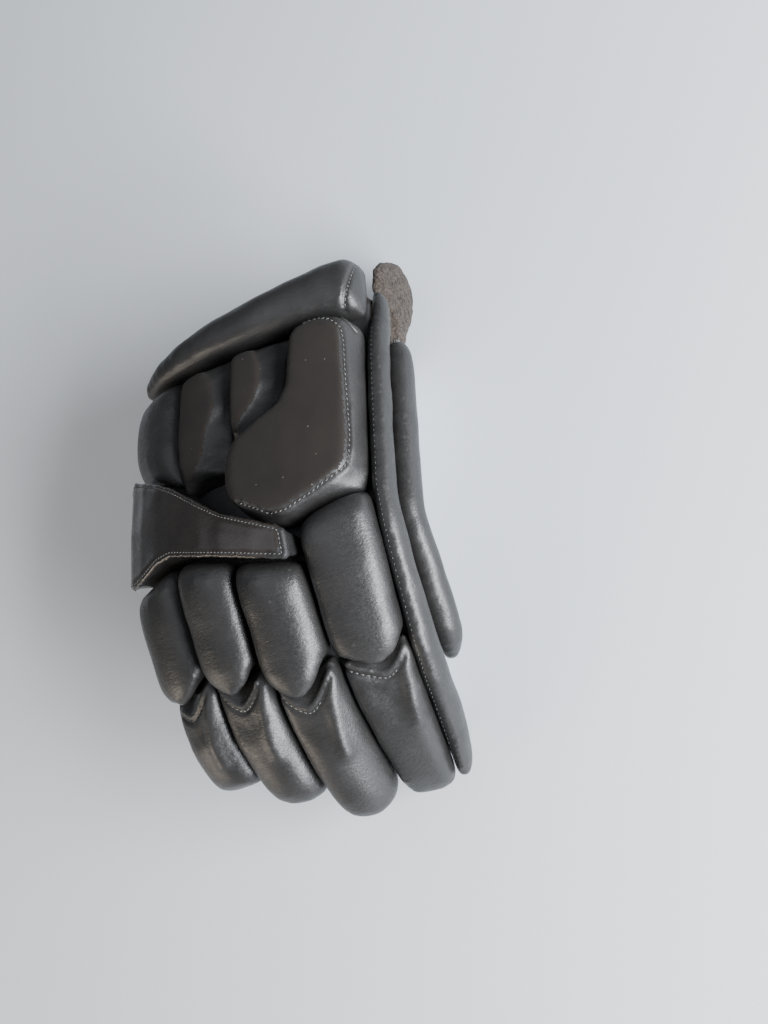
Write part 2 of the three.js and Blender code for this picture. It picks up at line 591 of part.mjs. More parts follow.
const THUMB_ROWS = [
  { along: -0.05, size: 0.9 },
  { along: 0.2, size: 1 },
  { along: 0.42, size: 1 },
  { along: 0.66, size: 1 },
  { along: 0.86, size: 0.95 },
  { along: 0.96, size: 0.78 },
  { along: 1.0, size: 0.5 },
];
function thumbStall(inset) {
  return loft(THUMB_ROWS.map((row) => ovalSection({
    level: 0,
    halfWidth: (THUMB_WIDTH / 2 - inset) * row.size,
    halfHeight: (THUMB_HEIGHT / 2 - inset) * row.size,
    sides: 12,
  }, (x, height) => thumbPoint(x, row.along * THUMB_LENGTH - inset * Math.sign(row.along - 0.5), height))));
}

// The towelling band runs on from the back, under the cuff
const BAND_START = HAND_ROWS[1].at * BACK_LENGTH + CLEARANCE;
const BAND_END = BACK_LENGTH * 1.02 + 0.95 * CUFF_WIDTH;
const bandRows = [BAND_START, BAND_END].map((toWrist) => ({
  ...HAND_ROWS[1], at: toWrist / BACK_LENGTH,
}));

// The glove is tipped until the wrist and the little fingertip reach the floor together.
const wristShape = handShell(0, bandRows);
const fingerShapes = FINGERS.map((finger) => fingerStall(finger, 0));
const lyingAt = (tilt) => new THREE.Matrix4().makeRotationX(-tilt);
function lowestAt(geometry, tilt) {
  const laid = geometry.clone().applyMatrix4(lyingAt(tilt));
  laid.computeBoundingBox();
  return laid.boundingBox.min.z;
}
function restTilt() {
  let [low, high] = [0, Math.PI / 4];
  while (high - low > 1e-6) {
    const tilt = (low + high) / 2;
    const fingerLevel = Math.min(...fingerShapes.map((geometry) => lowestAt(geometry, tilt)));
    if (lowestAt(wristShape, tilt) > fingerLevel + WRIST_LIFT) low = tilt;
    else high = tilt;
  }
  return low;
}
const REST_TILT = restTilt();

// Everything more than an offset above the floor the glove rests on, in the glove's own frame. What rests is
// pressed flat there, so the floor lies a little above the lowest point of the full shapes.
const lying = lyingAt(REST_TILT);
const restingShapes = [wristShape, handShell(0, HAND_ROWS.slice(1)), thumbStall(0), ...fingerShapes];
const restLevel = FLATTENED + Math.min(...restingShapes.map((geometry) => lowestAt(geometry, REST_TILT)));
function aboveFloor(offset) {
  const size = 4 * HAND_WIDTH;
  const block = new THREE.BoxGeometry(size, size, size);
  block.deleteAttribute("normal");
  block.deleteAttribute("uv");
  block.translate(0, 0, size / 2 + restLevel + offset);
  block.applyMatrix4(lying.clone().invert());
  return solidOf(block);
}

// A curved slab over the whole hand between two heights, to part the shell along its gussets.
function handSlab(low, high) {
  const across = [-2.9, -1.53, -1, -0.5, 0, 0.5, 1, 1.46, 2.9].map((share) => share * ROLL_PITCH);
  const bend = 0.54 * BEND_LENGTH;
  const along = [-1.55 * BACK_LENGTH, -bend, 0, bend, PROXIMAL_LENGTH - bend, PROXIMAL_LENGTH];
  along.push(...[bend, 0.7 * DISTAL_LENGTH, 1.6 * DISTAL_LENGTH].map((past) => PROXIMAL_LENGTH + past));
  return solidOf(loft(along.map((place) => [
    ...across.map((x) => handPoint(x, place, low)),
    ...[...across].reverse().map((x) => handPoint(x, place, high)),
  ])));
}

function thumbSlab(low, high) {
  const wide = THUMB_WIDTH;
  return solidOf(loft([-0.23, 0.34, 0.48, 0.61, 0.75, 1.48].map((share) => share * THUMB_LENGTH).map((place) => [
    thumbPoint(-wide, place, low),
    thumbPoint(wide, place, low),
    thumbPoint(wide, place, high),
    thumbPoint(-wide, place, high),
  ])));
}

const handRows = HAND_ROWS.filter((row) => row.at < 1.2);
const stalls = (inset) => joined(FINGERS.map((finger) => solidOf(fingerStall(finger, inset))));
const thumbOuter = solidOf(thumbStall(0));
const thumbInner = solidOf(thumbStall(LEATHER));
const handOuter = solidOf(handShell(0, handRows)).add(stalls(0)).intersect(aboveFloor(0));
const handGrown = solidOf(handShell(-CLEARANCE, handRows)).add(stalls(-CLEARANCE));
const handInner = solidOf(handShell(LEATHER, HAND_ROWS)).add(stalls(LEATHER)).intersect(aboveFloor(LEATHER));
const hollow = handInner.add(thumbInner);
const handLeather = handOuter.subtract(hollow);

const GUSSET_TOP = HAND_TOP - 0.32 * FINGER_HEIGHT;
const GUSSET_FOOT = GUSSET_TOP - GUSSET_WIDTH;
addPiece("back_leather", geometryOf(handLeather.intersect(handSlab(GUSSET_TOP, PAD_HEIGHT))), base);
addPiece("side_gusset", geometryOf(handLeather.intersect(
  handSlab(GUSSET_FOOT, GUSSET_TOP - CLEARANCE),
).subtract(handSlab(GUSSET_TOP - CLEARANCE, PAD_HEIGHT))), mesh);
addPiece("palm_leather", geometryOf(handLeather.subtract(handSlab(GUSSET_FOOT - CLEARANCE, PAD_HEIGHT))), white);

const thumbLeather = thumbOuter.subtract(thumbInner).subtract(handGrown).intersect(aboveFloor(0));
const THUMB_GUSSET = 0.2 * THUMB_HEIGHT;
addPiece("thumb_back_leather", geometryOf(thumbLeather.intersect(thumbSlab(THUMB_GUSSET, 1.2 * THUMB_HEIGHT))), base);
addPiece("thumb_gusset", geometryOf(thumbLeather.intersect(
  thumbSlab(-THUMB_GUSSET, THUMB_GUSSET - CLEARANCE),
)), mesh);
addPiece("thumb_palm_leather", geometryOf(thumbLeather.intersect(
  thumbSlab(-1.2 * THUMB_HEIGHT, -THUMB_GUSSET - CLEARANCE),
)), white);

// Thumb rolls, over the back of the thumb
const THUMB_ROLLS = {
  thumb_roll_base: [
    { along: 0.16, width: 0.75, crown: 0.5 },
    { along: 0.2, width: 0.92, crown: 0.85 },
    { along: 0.3, width: 1, crown: 1 },
    { along: 0.44, width: 1, crown: 1 },
    { along: 0.52, width: 0.98, crown: 0.9 },
    { along: 0.55, width: 0.94, crown: 0.66 },
  ],
  thumb_roll_tip: [
    { along: 0.56, width: 0.94, crown: 0.6 },
    { along: 0.6, width: 0.99, crown: 0.84 },
    { along: 0.68, width: 1, crown: 1 },
    { along: 0.84, width: 1, crown: 1 },
    { along: 0.95, width: 0.88, crown: 0.9 },
    { along: 1.01, width: 0.68, crown: 0.66 },
    { along: 1.04, width: 0.45, crown: 0.36 },
  ],
};
const thumbFoot = THUMB_HEIGHT / 2 + CLEARANCE;
for (const [name, rows] of Object.entries(THUMB_ROLLS)) {
  const rings = rows.map((row) => rollSection({
    left: -0.52 * THUMB_WIDTH * row.width,
    right: 0.52 * THUMB_WIDTH * row.width,
    foot: thumbFoot,
    crown: thumbFoot + THUMB_PAD_HEIGHT * row.crown,
  }, (x, height) => thumbPoint(x, row.along * THUMB_LENGTH, height)));
  addPiece(name, geometryOf(solidOf(loft(rings)).subtract(handGrown)), leather);
}

// The wristband, and the tab of it that shows at the outer side
const boreRows = [BAND_START - TOWELLING, BAND_END + TOWELLING].map((toWrist, j) => ({
  ...bandRows[j], at: toWrist / BACK_LENGTH,
}));
addPiece("wristband", geometryOf(
  solidOf(wristShape).intersect(aboveFloor(0))
    .subtract(solidOf(handShell(TOWELLING, boreRows)).intersect(aboveFloor(TOWELLING))),
), towel);

const TAB_ROWS = [
  { along: 0.0, half: 0.42 },
  { along: 0.15, half: 0.5 },
  { along: 0.4, half: 0.78 },
  { along: 0.62, half: 1 },
  { along: 0.8, half: 0.98 },
  { along: 0.93, half: 0.7 },
  { along: 1.0, half: 0.3 },
];
const TAB_OUTLINE = [[0, -1], [0, 0], [0, 1], [0.7, 0.96], [1, 0.5], [1.1, 0], [1, -0.5], [0.7, -0.96]];
const TAB_SIDE = (0.5 * 0.98 - 0.02) * HAND_WIDTH + CLEARANCE;
const TAB_START = 0.96 * BACK_LENGTH;
addPiece("wrist_tab", loft(TAB_ROWS.map((row) => TAB_OUTLINE.map(([out, up]) => vector(
  TAB_SIDE + out * TAB_THICKNESS,
  TAB_START + row.along * TAB_LENGTH,
  -PAD_HEIGHT - mix(0.64, 0.71, row.along) * HAND_HEIGHT + up * row.half * (TAB_WIDTH / 2),
)))), towel);

// The glove is laid down and brought over the origin
glove.rotation.set(-REST_TILT, 0, 0);
glove.updateMatrixWorld(true);
const bounds = new THREE.Box3().setFromObject(glove, true);
const centre = bounds.getCenter(vector(0, 0, 0));
glove.position.set(-centre.x, -centre.y, -bounds.min.z);

export default glove;
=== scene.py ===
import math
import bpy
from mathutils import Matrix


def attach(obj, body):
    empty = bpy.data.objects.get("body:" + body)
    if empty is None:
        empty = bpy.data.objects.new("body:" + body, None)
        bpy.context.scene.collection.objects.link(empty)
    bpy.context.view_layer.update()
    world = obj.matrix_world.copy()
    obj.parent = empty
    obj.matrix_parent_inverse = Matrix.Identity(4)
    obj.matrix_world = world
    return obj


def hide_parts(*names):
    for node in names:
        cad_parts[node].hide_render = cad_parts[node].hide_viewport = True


bl_info = {
    "name": "Batting Glove",
    "version": (1, 0, 0),
    "blender": (4, 5, 0),
    "location": "View3D > Sidebar > Glove",
    "description": "Dresses a padded leather batting glove in seams, stitches, leather, mesh and towelling",
    "category": "Object",
}

import bmesh
import bpy
import numpy as np
from bpy.props import FloatProperty, FloatVectorProperty, PointerProperty
from mathutils import Matrix, Vector, noise
from mathutils.bvhtree import BVHTree
from mathutils.kdtree import KDTree

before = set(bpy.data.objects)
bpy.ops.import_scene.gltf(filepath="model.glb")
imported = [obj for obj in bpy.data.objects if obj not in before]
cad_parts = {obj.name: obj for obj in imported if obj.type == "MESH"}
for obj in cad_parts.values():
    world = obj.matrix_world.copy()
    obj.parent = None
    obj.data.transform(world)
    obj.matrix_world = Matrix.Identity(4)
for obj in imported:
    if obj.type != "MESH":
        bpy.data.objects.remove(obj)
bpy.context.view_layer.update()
MM = 0.001

# The hand that the pads lie over, in millimetres: the same arch, rolls and bends as the solids have
ARCH_RADIUS = 150
ROLL_PITCH = 29.4
BEND_LENGTH = 26
BACK_LENGTH = 84
CUFF_WIDTH = 20
PAD_HEIGHT = 15
ROLL_END = 1.03
NEST_GAP = 2
OUTER_EDGE = 2.02 * ROLL_PITCH
FINGERS = [
    {"name": "index", "line": -1.53 * ROLL_PITCH, "knuckle": 7.02, "proximal": 52.38, "distal": 39.27,
     "pitch": 20.9, "bend": 19.1, "splay": -4.5},
    {"name": "middle", "line": -0.5 * ROLL_PITCH, "knuckle": 0, "proximal": 50.22, "distal": 49.98,
     "pitch": 25.0, "bend": 20.7, "splay": -2.2},
    {"name": "ring", "line": 0.5 * ROLL_PITCH, "knuckle": -3.51, "proximal": 54.54, "distal": 58.65,
     "pitch": 27.8, "bend": 26.2, "splay": 1.0},
    {"name": "little", "line": 1.46 * ROLL_PITCH, "knuckle": 2.7, "proximal": 54.0, "distal": 66.3,
     "pitch": 29.3, "bend": 31.0, "splay": 6.9},
]
SEAMS = [-2.17 * ROLL_PITCH, -1.015 * ROLL_PITCH, 0, 0.98 * ROLL_PITCH, OUTER_EDGE]
COVER_EDGE = [
    (-2.12, 0.59, 0.06), (-1.95, 0.6, 0.04), (-1.6, 0.545, 0.045), (-1.2, 0.48, 0.075), (-0.9, 0.42, 0.075),
    (-0.3, 0.27, 0.01), (0.0, 0.2, -0.02), (0.5, 0.12, -0.07), (0.84, 0.065, -0.1),
]

# The least height over the floor, in millimetres
FLOOR_GAP = 0.05
# How many steps the cloth takes that blows a pad up, and how much of its cap the pad is shrunk by before
FOAM_STEPS = 12
FOAM_SHRINK = 0.8
# How far a stitch stands out, as a share of its thread's thickness
STITCH_LIFT = 0.12

# How the glove lies, and where its knuckle line is on the floor
REST_TILT = math.radians(-13.403)
LYING = Matrix.Translation((0.0084133, -0.0065252, 0.0871799)) @ Matrix.Rotation(REST_TILT, 4, "X")
STANDING = LYING.inverted()


def finger_at(across):
    """The finger values at a place across the hand, eased from one finger's line to the next."""
    if across <= FINGERS[0]["line"]:
        return FINGERS[0]
    if across >= FINGERS[-1]["line"]:
        return FINGERS[-1]
    place = next(j for j, finger in enumerate(FINGERS) if finger["line"] > across)
    low, high = FINGERS[place - 1], FINGERS[place]
    share = (across - low["line"]) / (high["line"] - low["line"])
    share = share * share * (3 - 2 * share)
    keys = ("knuckle", "proximal", "distal", "pitch", "bend", "splay")
    return {key: low[key] * (1 - share) + high[key] * share for key in keys}


def over_hand(across, along, height):
    """A point and its outward direction, over the hand and the fingers as they lie, in metres."""
    finger = finger_at(across)
    angle = across / ARCH_RADIUS
    side = Vector((math.cos(angle), 0, -math.sin(angle)))
    up = Vector((math.sin(angle), 0, math.cos(angle)))
    point = Vector((ARCH_RADIUS * up.x, finger["knuckle"], ARCH_RADIUS * (up.z - 1)))
    splay = math.radians(finger["splay"])
    ahead = Vector((0, -math.cos(splay), 0)) + side * math.sin(splay)
    pitch = 0.0
    if along <= -BEND_LENGTH / 2:
        point += Vector((0, -along, 0))
    else:
        point += Vector((0, BEND_LENGTH / 2, 0))
        left = along + BEND_LENGTH / 2
        stretches = (
            (BEND_LENGTH, math.radians(finger["pitch"])),
            (finger["proximal"] - BEND_LENGTH, 0),
            (BEND_LENGTH, math.radians(finger["bend"])),
            (1000, 0),
        )
        for length, turn in stretches:
            run = min(left, length)
            turned = turn * run / length
            middle = pitch + turned / 2
            chord = run if turned == 0 else run * math.sin(turned / 2) / (turned / 2)
            point += ahead * chord * math.cos(middle) - up * chord * math.sin(middle)
            pitch += turned
            left -= run
            if left <= 0:
                break
    normal = up * math.cos(pitch) + ahead * math.sin(pitch)
    place = LYING @ ((point + normal * height) * MM)
    return place, (LYING.to_3x3() @ normal).normalized()


def over_back(across, to_wrist, height=0):
    """The same by the distance from the knuckle line towards the wrist."""
    return over_hand(across, finger_at(across)["knuckle"] - to_wrist, height)


def on_back(place):
    """How far across, towards the wrist and above the crown a point over the back is, in millimetres."""
    point = (STANDING @ place) / MM
    return (
        math.atan2(point.x, point.z + ARCH_RADIUS) * ARCH_RADIUS,
        point.y,
        math.hypot(point.x, point.z + ARCH_RADIUS) - ARCH_RADIUS,
    )


def cover_edge(across, key):
    """Where the knuckle cover's edge towards the wrist (1) or the fingers (2) lies."""
    shares = [row[0] * ROLL_PITCH for row in COVER_EDGE]
    return float(np.interp(across, shares, [row[key] * BACK_LENGTH for row in COVER_EDGE]))


# Colours and materials


def linear(code):
    """An sRGB hex colour as the linear values that Blender works with."""
    values = [int(code[i:i + 2], 16) / 255 for i in (0, 2, 4)]
    return tuple(v / 12.92 if v <= 0.04045 else ((v + 0.055) / 1.055) ** 2.4 for v in values)


def add_node(tree, kind, links=None, **settings):
    """A node with its settings, and its inputs either linked to another node's output or set to a value."""
    node = tree.nodes.new(kind)
    for key, value in settings.items():
        setattr(node, key, value)
    for key, value in (links or {}).items():
        socket = node.inputs[key]
        if isinstance(value, bpy.types.NodeSocket):
            tree.links.new(value, socket)
        else:
            socket.default_value = value
    return node


def mixed(tree, factor, first, second):
    """The colour between two others. The mixing node has sockets of one name for each kind of value, so the
    colour ones are told by their place."""
    node = add_node(tree, "ShaderNodeMix", {"Factor": factor}, data_type="RGBA")
    for socket, value in ((node.inputs[6], first), (node.inputs[7], second)):
        if isinstance(value, bpy.types.NodeSocket):
            tree.links.new(value, socket)
        else:
            socket.default_value = value
    return node.outputs[2]


def blank_material(name):
    """A new material with only its output left."""
    material = bpy.data.materials.new(name)
    material.use_nodes = True
    tree = material.node_tree
    for node in list(tree.nodes):
        if node.type != "OUTPUT_MATERIAL":
            tree.nodes.remove(node)
    return material, tree, tree.nodes[0]


def surfaced(material, tree, output, settings):
    """The material with a shader of those settings on its output."""
    shader = add_node(tree, "ShaderNodeBsdfPrincipled", settings)
    tree.links.new(shader.outputs["BSDF"], output.inputs["Surface"])
    return material


def add_noise(tree, vector, scale, detail, roughness, distortion=0.0):
    """Smooth noise over those coordinates."""
    return add_node(tree, "ShaderNodeTexNoise", {
        "Vector": vector, "Scale": scale, "Detail": detail, "Roughness": roughness,
        "Distortion": distortion,
    })


def leather_material(name, colour, roughness, grain, coat=0.0, worn=0.35, mottle=0.25):
    """Chrome-tanned cowhide, drum-dyed and plated: a fine pebbled grain with short creases across each roll,
    so a broad highlight breaks into streaks."""
    material, tree, output = blank_material(name)
    place = add_node(tree, "ShaderNodeTexCoord")
    # Pebbles 1.1 mm across, as coarse as they need to be to show
    pebbles = add_node(tree, "ShaderNodeTexVoronoi", {
        "Vector": place.outputs["Object"], "Scale": 900.0,
    }, feature="SMOOTH_F1")
    # Creases 5 mm long and 0.6 mm apart, across the rolls
    stretch = add_node(tree, "ShaderNodeMapping", {
        "Vector": place.outputs["Object"], "Scale": (0.22, 1.5, 1.5),
    })
    creases = add_noise(tree, stretch.outputs["Vector"], 950.0, 3.0, 0.6, 0.6)
    # Slow changes of the dye, 14 mm across
    clouds = add_noise(tree, place.outputs["Object"], 70.0, 4.0, 0.55)
    dye = add_node(tree, "ShaderNodeValToRGB", {"Fac": clouds.outputs["Fac"]})
    dye.color_ramp.elements[0].position = 0.3
    dye.color_ramp.elements[1].position = 0.72
    dye.color_ramp.elements[0].color = (*[c * (1 - mottle) for c in colour], 1)
    dye.color_ramp.elements[1].color = (*[min(1, c * (1 + mottle)) for c in colour], 1)
    edges = add_node(tree, "ShaderNodeNewGeometry")
    rub = add_node(tree, "ShaderNodeMapRange", {
        "Value": edges.outputs["Pointiness"], "From Min": 0.5, "From Max": 0.58,
        "To Min": 0.0, "To Max": worn,
    })
    pale = (*[min(1, c * 2.6 + 0.01) for c in colour], 1)
    tint = mixed(tree, rub.outputs["Result"], dye.outputs["Color"], pale)
    polish = add_node(tree, "ShaderNodeMapRange", {
        "Value": creases.outputs["Fac"], "From Min": 0.3, "From Max": 0.7,
        "To Min": roughness - 0.07, "To Max": roughness + 0.1,
    })
    fine = add_node(tree, "ShaderNodeBump", {
        "Height": pebbles.outputs["Distance"], "Strength": grain, "Distance": 0.00012,
    }, invert=True)
    relief = add_node(tree, "ShaderNodeBump", {
        "Height": creases.outputs["Fac"], "Strength": grain, "Distance": 0.00035,
        "Normal": fine.outputs["Normal"],
    })
    return surfaced(material, tree, output, {
        "Base Color": tint, "Roughness": polish.outputs["Result"], "IOR": 1.5,
        "Specular IOR Level": 0.5, "Coat Weight": coat, "Coat Roughness": 0.22,
        "Normal": relief.outputs["Normal"],
    })


def nubuck_material(name, colour):
    """Buffed leather, printed with a matte finish: no streaks, a soft nap and a few pale specks of dust."""
    material, tree, output = blank_material(name)
    place = add_node(tree, "ShaderNodeTexCoord")
    nap = add_noise(tree, place.outputs["Object"], 1500.0, 3.0, 0.7)
    clouds = add_noise(tree, place.outputs["Object"], 45.0, 3.0, 0.6)
    dye = add_node(tree, "ShaderNodeValToRGB", {"Fac": clouds.outputs["Fac"]})
    dye.color_ramp.elements[0].position = 0.3
    dye.color_ramp.elements[1].position = 0.75
    dye.color_ramp.elements[0].color = (*[c * 0.8 for c in colour], 1)
    dye.color_ramp.elements[1].color = (*[c * 1.3 for c in colour], 1)
    # Specks 0.4 mm across, about one to each 5 mm
    specks = add_node(tree, "ShaderNodeTexVoronoi", {"Vector": place.outputs["Object"], "Scale": 210.0})
    dust = add_node(tree, "ShaderNodeMapRange", {
        "Value": specks.outputs["Distance"], "From Min": 0.035, "From Max": 0.055,
        "To Min": 0.55, "To Max": 0.0,
    })
    tint = mixed(tree, dust.outputs["Result"], dye.outputs["Color"], (0.3, 0.29, 0.27, 1))
    relief = add_node(tree, "ShaderNodeBump", {
        "Height": nap.outputs["Fac"], "Strength": 0.35, "Distance": 0.00015,
    })
    return surfaced(material, tree, output, {
        "Base Color": tint, "Roughness": 0.78, "Specular IOR Level": 0.28,
        "Sheen Weight": 0.04, "Sheen Roughness": 0.5, "Normal": relief.outputs["Normal"],
    })


def staggered(tree, cut, scale, squash, inner, outer, ramp):
    """Round spots on two square grids, the second moved by half a step: 1 within the inner radius, 0 beyond
    the outer one, both as shares of a step."""
    spots = None
    for shift in ((0.0, 0.0, 0.0), (0.5, 0.5, 0.0)):
        grid = add_node(tree, "ShaderNodeMapping", {
            "Vector": cut.outputs["UV"], "Location": shift, "Scale": (*scale, 0.0),
        })
        cell = add_node(tree, "ShaderNodeVectorMath", {0: grid.outputs["Vector"]}, operation="FRACTION")
        centred = add_node(tree, "ShaderNodeVectorMath", {
            0: cell.outputs["Vector"], 1: (0.5, 0.5, 0.0),
        }, operation="SUBTRACT")
        rounded = add_node(tree, "ShaderNodeVectorMath", {
            0: centred.outputs["Vector"], 1: (1.0, squash, 0.0),
        }, operation="MULTIPLY")
        away = add_node(tree, "ShaderNodeVectorMath", {0: rounded.outputs["Vector"]}, operation="LENGTH")
        spot = add_node(tree, "ShaderNodeMapRange", {
            "Value": away.outputs["Value"], "From Min": inner, "From Max": outer,
            "To Min": 1.0, "To Max": 0.0,
        }, interpolation_type=ramp).outputs["Result"]
        if spots is not None:
            spot = add_node(tree, "ShaderNodeMath", {0: spots, 1: spot}, operation="MAXIMUM").outputs["Value"]
        spots = spot
    return spots


def perforated_material(name, colour):
    """Soft sheepskin palm leather in white, punched with small staggered holes and creased by the hand."""
    material, tree, output = blank_material(name)
    cut = add_node(tree, "ShaderNodeUVMap", uv_map="cut")
    place = add_node(tree, "ShaderNodeTexCoord")
    # Holes 0.9 mm across, 4.3 mm apart
    holes = staggered(tree, cut, (165.0, 165.0), 1.0, 0.06, 0.09, "LINEAR")
    wrinkles = add_noise(tree, place.outputs["Object"], 160.0, 5.0, 0.65, 0.8)
    # Darker in the wrinkles' hollows, from the same noise as their relief: painted shade in the creases
    shade = add_node(tree, "ShaderNodeValToRGB", {"Fac": wrinkles.outputs["Fac"]})
    shade.color_ramp.elements[0].position = 0.3
    shade.color_ramp.elements[1].position = 0.6
    shade.color_ramp.elements[0].color = (*[c * 0.72 for c in colour], 1)
    shade.color_ramp.elements[1].color = (*colour, 1)
    tint = mixed(tree, holes, shade.outputs["Color"], (0.03, 0.03, 0.032, 1))
    pits = add_node(tree, "ShaderNodeBump", {
        "Height": holes, "Strength": 0.8, "Distance": 0.0004,
    }, invert=True)
    relief = add_node(tree, "ShaderNodeBump", {
        "Height": wrinkles.outputs["Fac"], "Strength": 0.5, "Distance": 0.0012,
        "Normal": pits.outputs["Normal"],
    })
    return surfaced(material, tree, output, {
        "Base Color": tint, "Roughness": 0.55, "Normal": relief.outputs["Normal"],
    })


def spacer_mesh_material(name, colour):
    """Warp-knitted polyester spacer mesh: round cells 2.2 mm apart in staggered rows, ringed by yarn."""
    material, tree, output = blank_material(name)
    cut = add_node(tree, "ShaderNodeUVMap", uv_map="cut")
    cells = staggered(tree, cut, (260.0, 440.0), 0.62, 0.17, 0.27, "SMOOTHSTEP")
    yarn = add_noise(tree, cut.outputs["UV"], 2600.0, 2.0, 0.6)
    # Brighter where the yarn stands up and darker where it dips, from the same noise as its relief: painted
    # highlight and shade
    thread = add_node(tree, "ShaderNodeValToRGB", {"Fac": yarn.outputs["Fac"]})
    thread.color_ramp.elements[0].color = (*[c * 0.6 for c in colour], 1)
    thread.color_ramp.elements[1].color = (*[c * 2.2 for c in colour], 1)
    tint = mixed(tree, cells, thread.outputs["Color"], (0.002, 0.002, 0.002, 1))
    knit = add_node(tree, "ShaderNodeBump", {
        "Height": yarn.outputs["Fac"], "Strength": 0.6, "Distance": 0.0003,
    })
    pits = add_node(tree, "ShaderNodeBump", {
        "Height": cells, "Strength": 1.0, "Distance": 0.001, "Normal": knit.outputs["Normal"],
    }, invert=True)
    return surfaced(material, tree, output, {
        "Base Color": tint, "Roughness": 0.5, "Normal": pits.outputs["Normal"],
    })


def towelling_material(name, colour):
    """Cotton terry: loops 1 mm across that scatter light softly, with painted highlight on their tops and
    painted shade between them.
    """
    material, tree, output = blank_material(name)
    place = add_node(tree, "ShaderNodeTexCoord")
    loops = add_node(tree, "ShaderNodeTexVoronoi", {
        "Vector": place.outputs["Object"], "Scale": 1000.0, "Smoothness": 0.6,
    }, feature="SMOOTH_F1")
    fluff = add_noise(tree, place.outputs["Object"], 320.0, 5.0, 0.75)
    # Painted highlight on the loops' tops and painted shade between them, as their relief
    shade = add_node(tree, "ShaderNodeValToRGB", {"Fac": loops.outputs["Distance"]})
    shade.color_ramp.elements[0].color = (*[min(1, c * 1.5) for c in colour], 1)
    shade.color_ramp.elements[1].color = (*[c * 0.3 for c in colour], 1)
    # Lighter where the fluff stands up and darker in its hollows, from the same noise as its relief: painted
    # light and shade
    patch = add_node(tree, "ShaderNodeMapRange", {
        "Value": fluff.outputs["Fac"], "From Min": 0.3, "From Max": 0.7, "To Min": 0.55, "To Max": 1.5,
    })
    tint = add_node(tree, "ShaderNodeVectorMath", {
        0: shade.outputs["Color"], "Scale": patch.outputs["Result"],
    }, operation="SCALE")
    soft = add_node(tree, "ShaderNodeBump", {
        "Height": fluff.outputs["Fac"], "Strength": 0.8, "Distance": 0.0008,
    })
    relief = add_node(tree, "ShaderNodeBump", {
        "Height": loops.outputs["Distance"], "Strength": 1.0, "Distance": 0.0006,
        "Normal": soft.outputs["Normal"],
    }, invert=True)
    return surfaced(material, tree, output, {
        "Base Color": tint.outputs["Vector"], "Roughness": 0.95, "Specular IOR Level": 0.2,
        "Sheen Weight": 0.06, "Sheen Roughness": 0.5, "Normal": relief.outputs["Normal"],
    })


def thread_material(name, colour):
    """Bonded nylon thread, twisted and a little shiny."""
    material, tree, output = blank_material(name)
    place = add_node(tree, "ShaderNodeTexCoord")
    twist = add_node(tree, "ShaderNodeTexWave", {
        "Vector": place.outputs["Object"], "Scale": 900.0, "Distortion": 1.5,
    }, bands_direction="DIAGONAL")
    relief = add_node(tree, "ShaderNodeBump", {
        "Height": twist.outputs["Fac"], "Strength": 0.4, "Distance": 0.0002,
    })
    # Darker in the twist's grooves, from the same wave as its relief: painted shade
    shade = mixed(tree, twist.outputs["Fac"], (*[c * 0.6 for c in colour], 1), (*colour, 1))
    return surfaced(material, tree, output, {
        "Base Color": shade, "Roughness": 0.32, "Normal": relief.outputs["Normal"],
    })


def finish_named(name):
    """The glove's material of that name, made the first time it is asked for."""
    found = bpy.data.materials.get(name)
    if found:
        return found
    colours = bpy.context.scene.glove_colours
    if name == "cowhide":
        return leather_material(name, tuple(colours.leather), 0.4, 0.4)
    if name == "wall_cowhide":
        return leather_material(name, tuple(colours.leather), 0.44, 0.3, worn=0.25)
    # The rolls' leather at half its colour and rougher: painted shade for the hide that shows between and
    # under the pads and under the cover
    if name == "painted_shade_hide":
        return leather_material(name, tuple(c * 0.5 for c in colours.leather), 0.6, 0.3, worn=0.0)
    if name == "plated_cowhide":
        return leather_material(name, tuple(colours.cover), 0.32, 0.2, coat=0.2, worn=0.0, mottle=0.35)
    if name == "nubuck":
        return nubuck_material(name, tuple(colours.nubuck))
    if name == "sheepskin":
        return perforated_material(name, tuple(colours.palm))
    if name == "spacer_knit":
        return spacer_mesh_material(name, tuple(colours.mesh))
    if name == "terry":
        return towelling_material(name, tuple(colours.towelling))
    return thread_material("nylon_thread", tuple(colours.thread))


# Making pieces


def new_piece(name, mesh, finishes):
    """A piece that rides on the glove, with its materials in order."""
    piece = bpy.data.objects.new(name, mesh)
    bpy.context.scene.collection.objects.link(piece)
    for finish in finishes:
        mesh.materials.append(finish_named(finish))
    mesh.polygons.foreach_set("use_smooth", [True] * len(mesh.polygons))
    return piece


def applied(piece):
    """The piece with its modifiers made part of its mesh."""
    graph = bpy.context.evaluated_depsgraph_get()
    mesh = bpy.data.meshes.new_from_object(piece.evaluated_get(graph))
    old = piece.data
    piece.modifiers.clear()
    piece.data = mesh
    bpy.data.meshes.remove(old)
    mesh.polygons.foreach_set("use_smooth", [True] * len(mesh.polygons))
    return piece


def remeshed(piece, voxel):
    """The piece in even quads."""
    even = piece.modifiers.new("even", "REMESH")
    even.mode = "VOXEL"
    even.voxel_size = voxel * MM
    return applied(piece)


def relaxed(piece, rounds):
    """The piece with its facets smoothed away."""
    bm = bmesh.new()
    bm.from_mesh(piece.data)
    for _ in range(rounds):
        bmesh.ops.smooth_vert(
            bm, verts=bm.verts, factor=0.5, use_axis_x=True, use_axis_y=True, use_axis_z=True)
    bm.to_mesh(piece.data)
    bm.free()
    return piece


def subdivided(piece, live=False):
    """The piece with a finer surface, as a live modifier or made part of its mesh."""
    finer = piece.modifiers.new("finer", "SUBSURF")
    finer.levels = 1
    finer.render_levels = 1
    return piece if live else applied(piece)


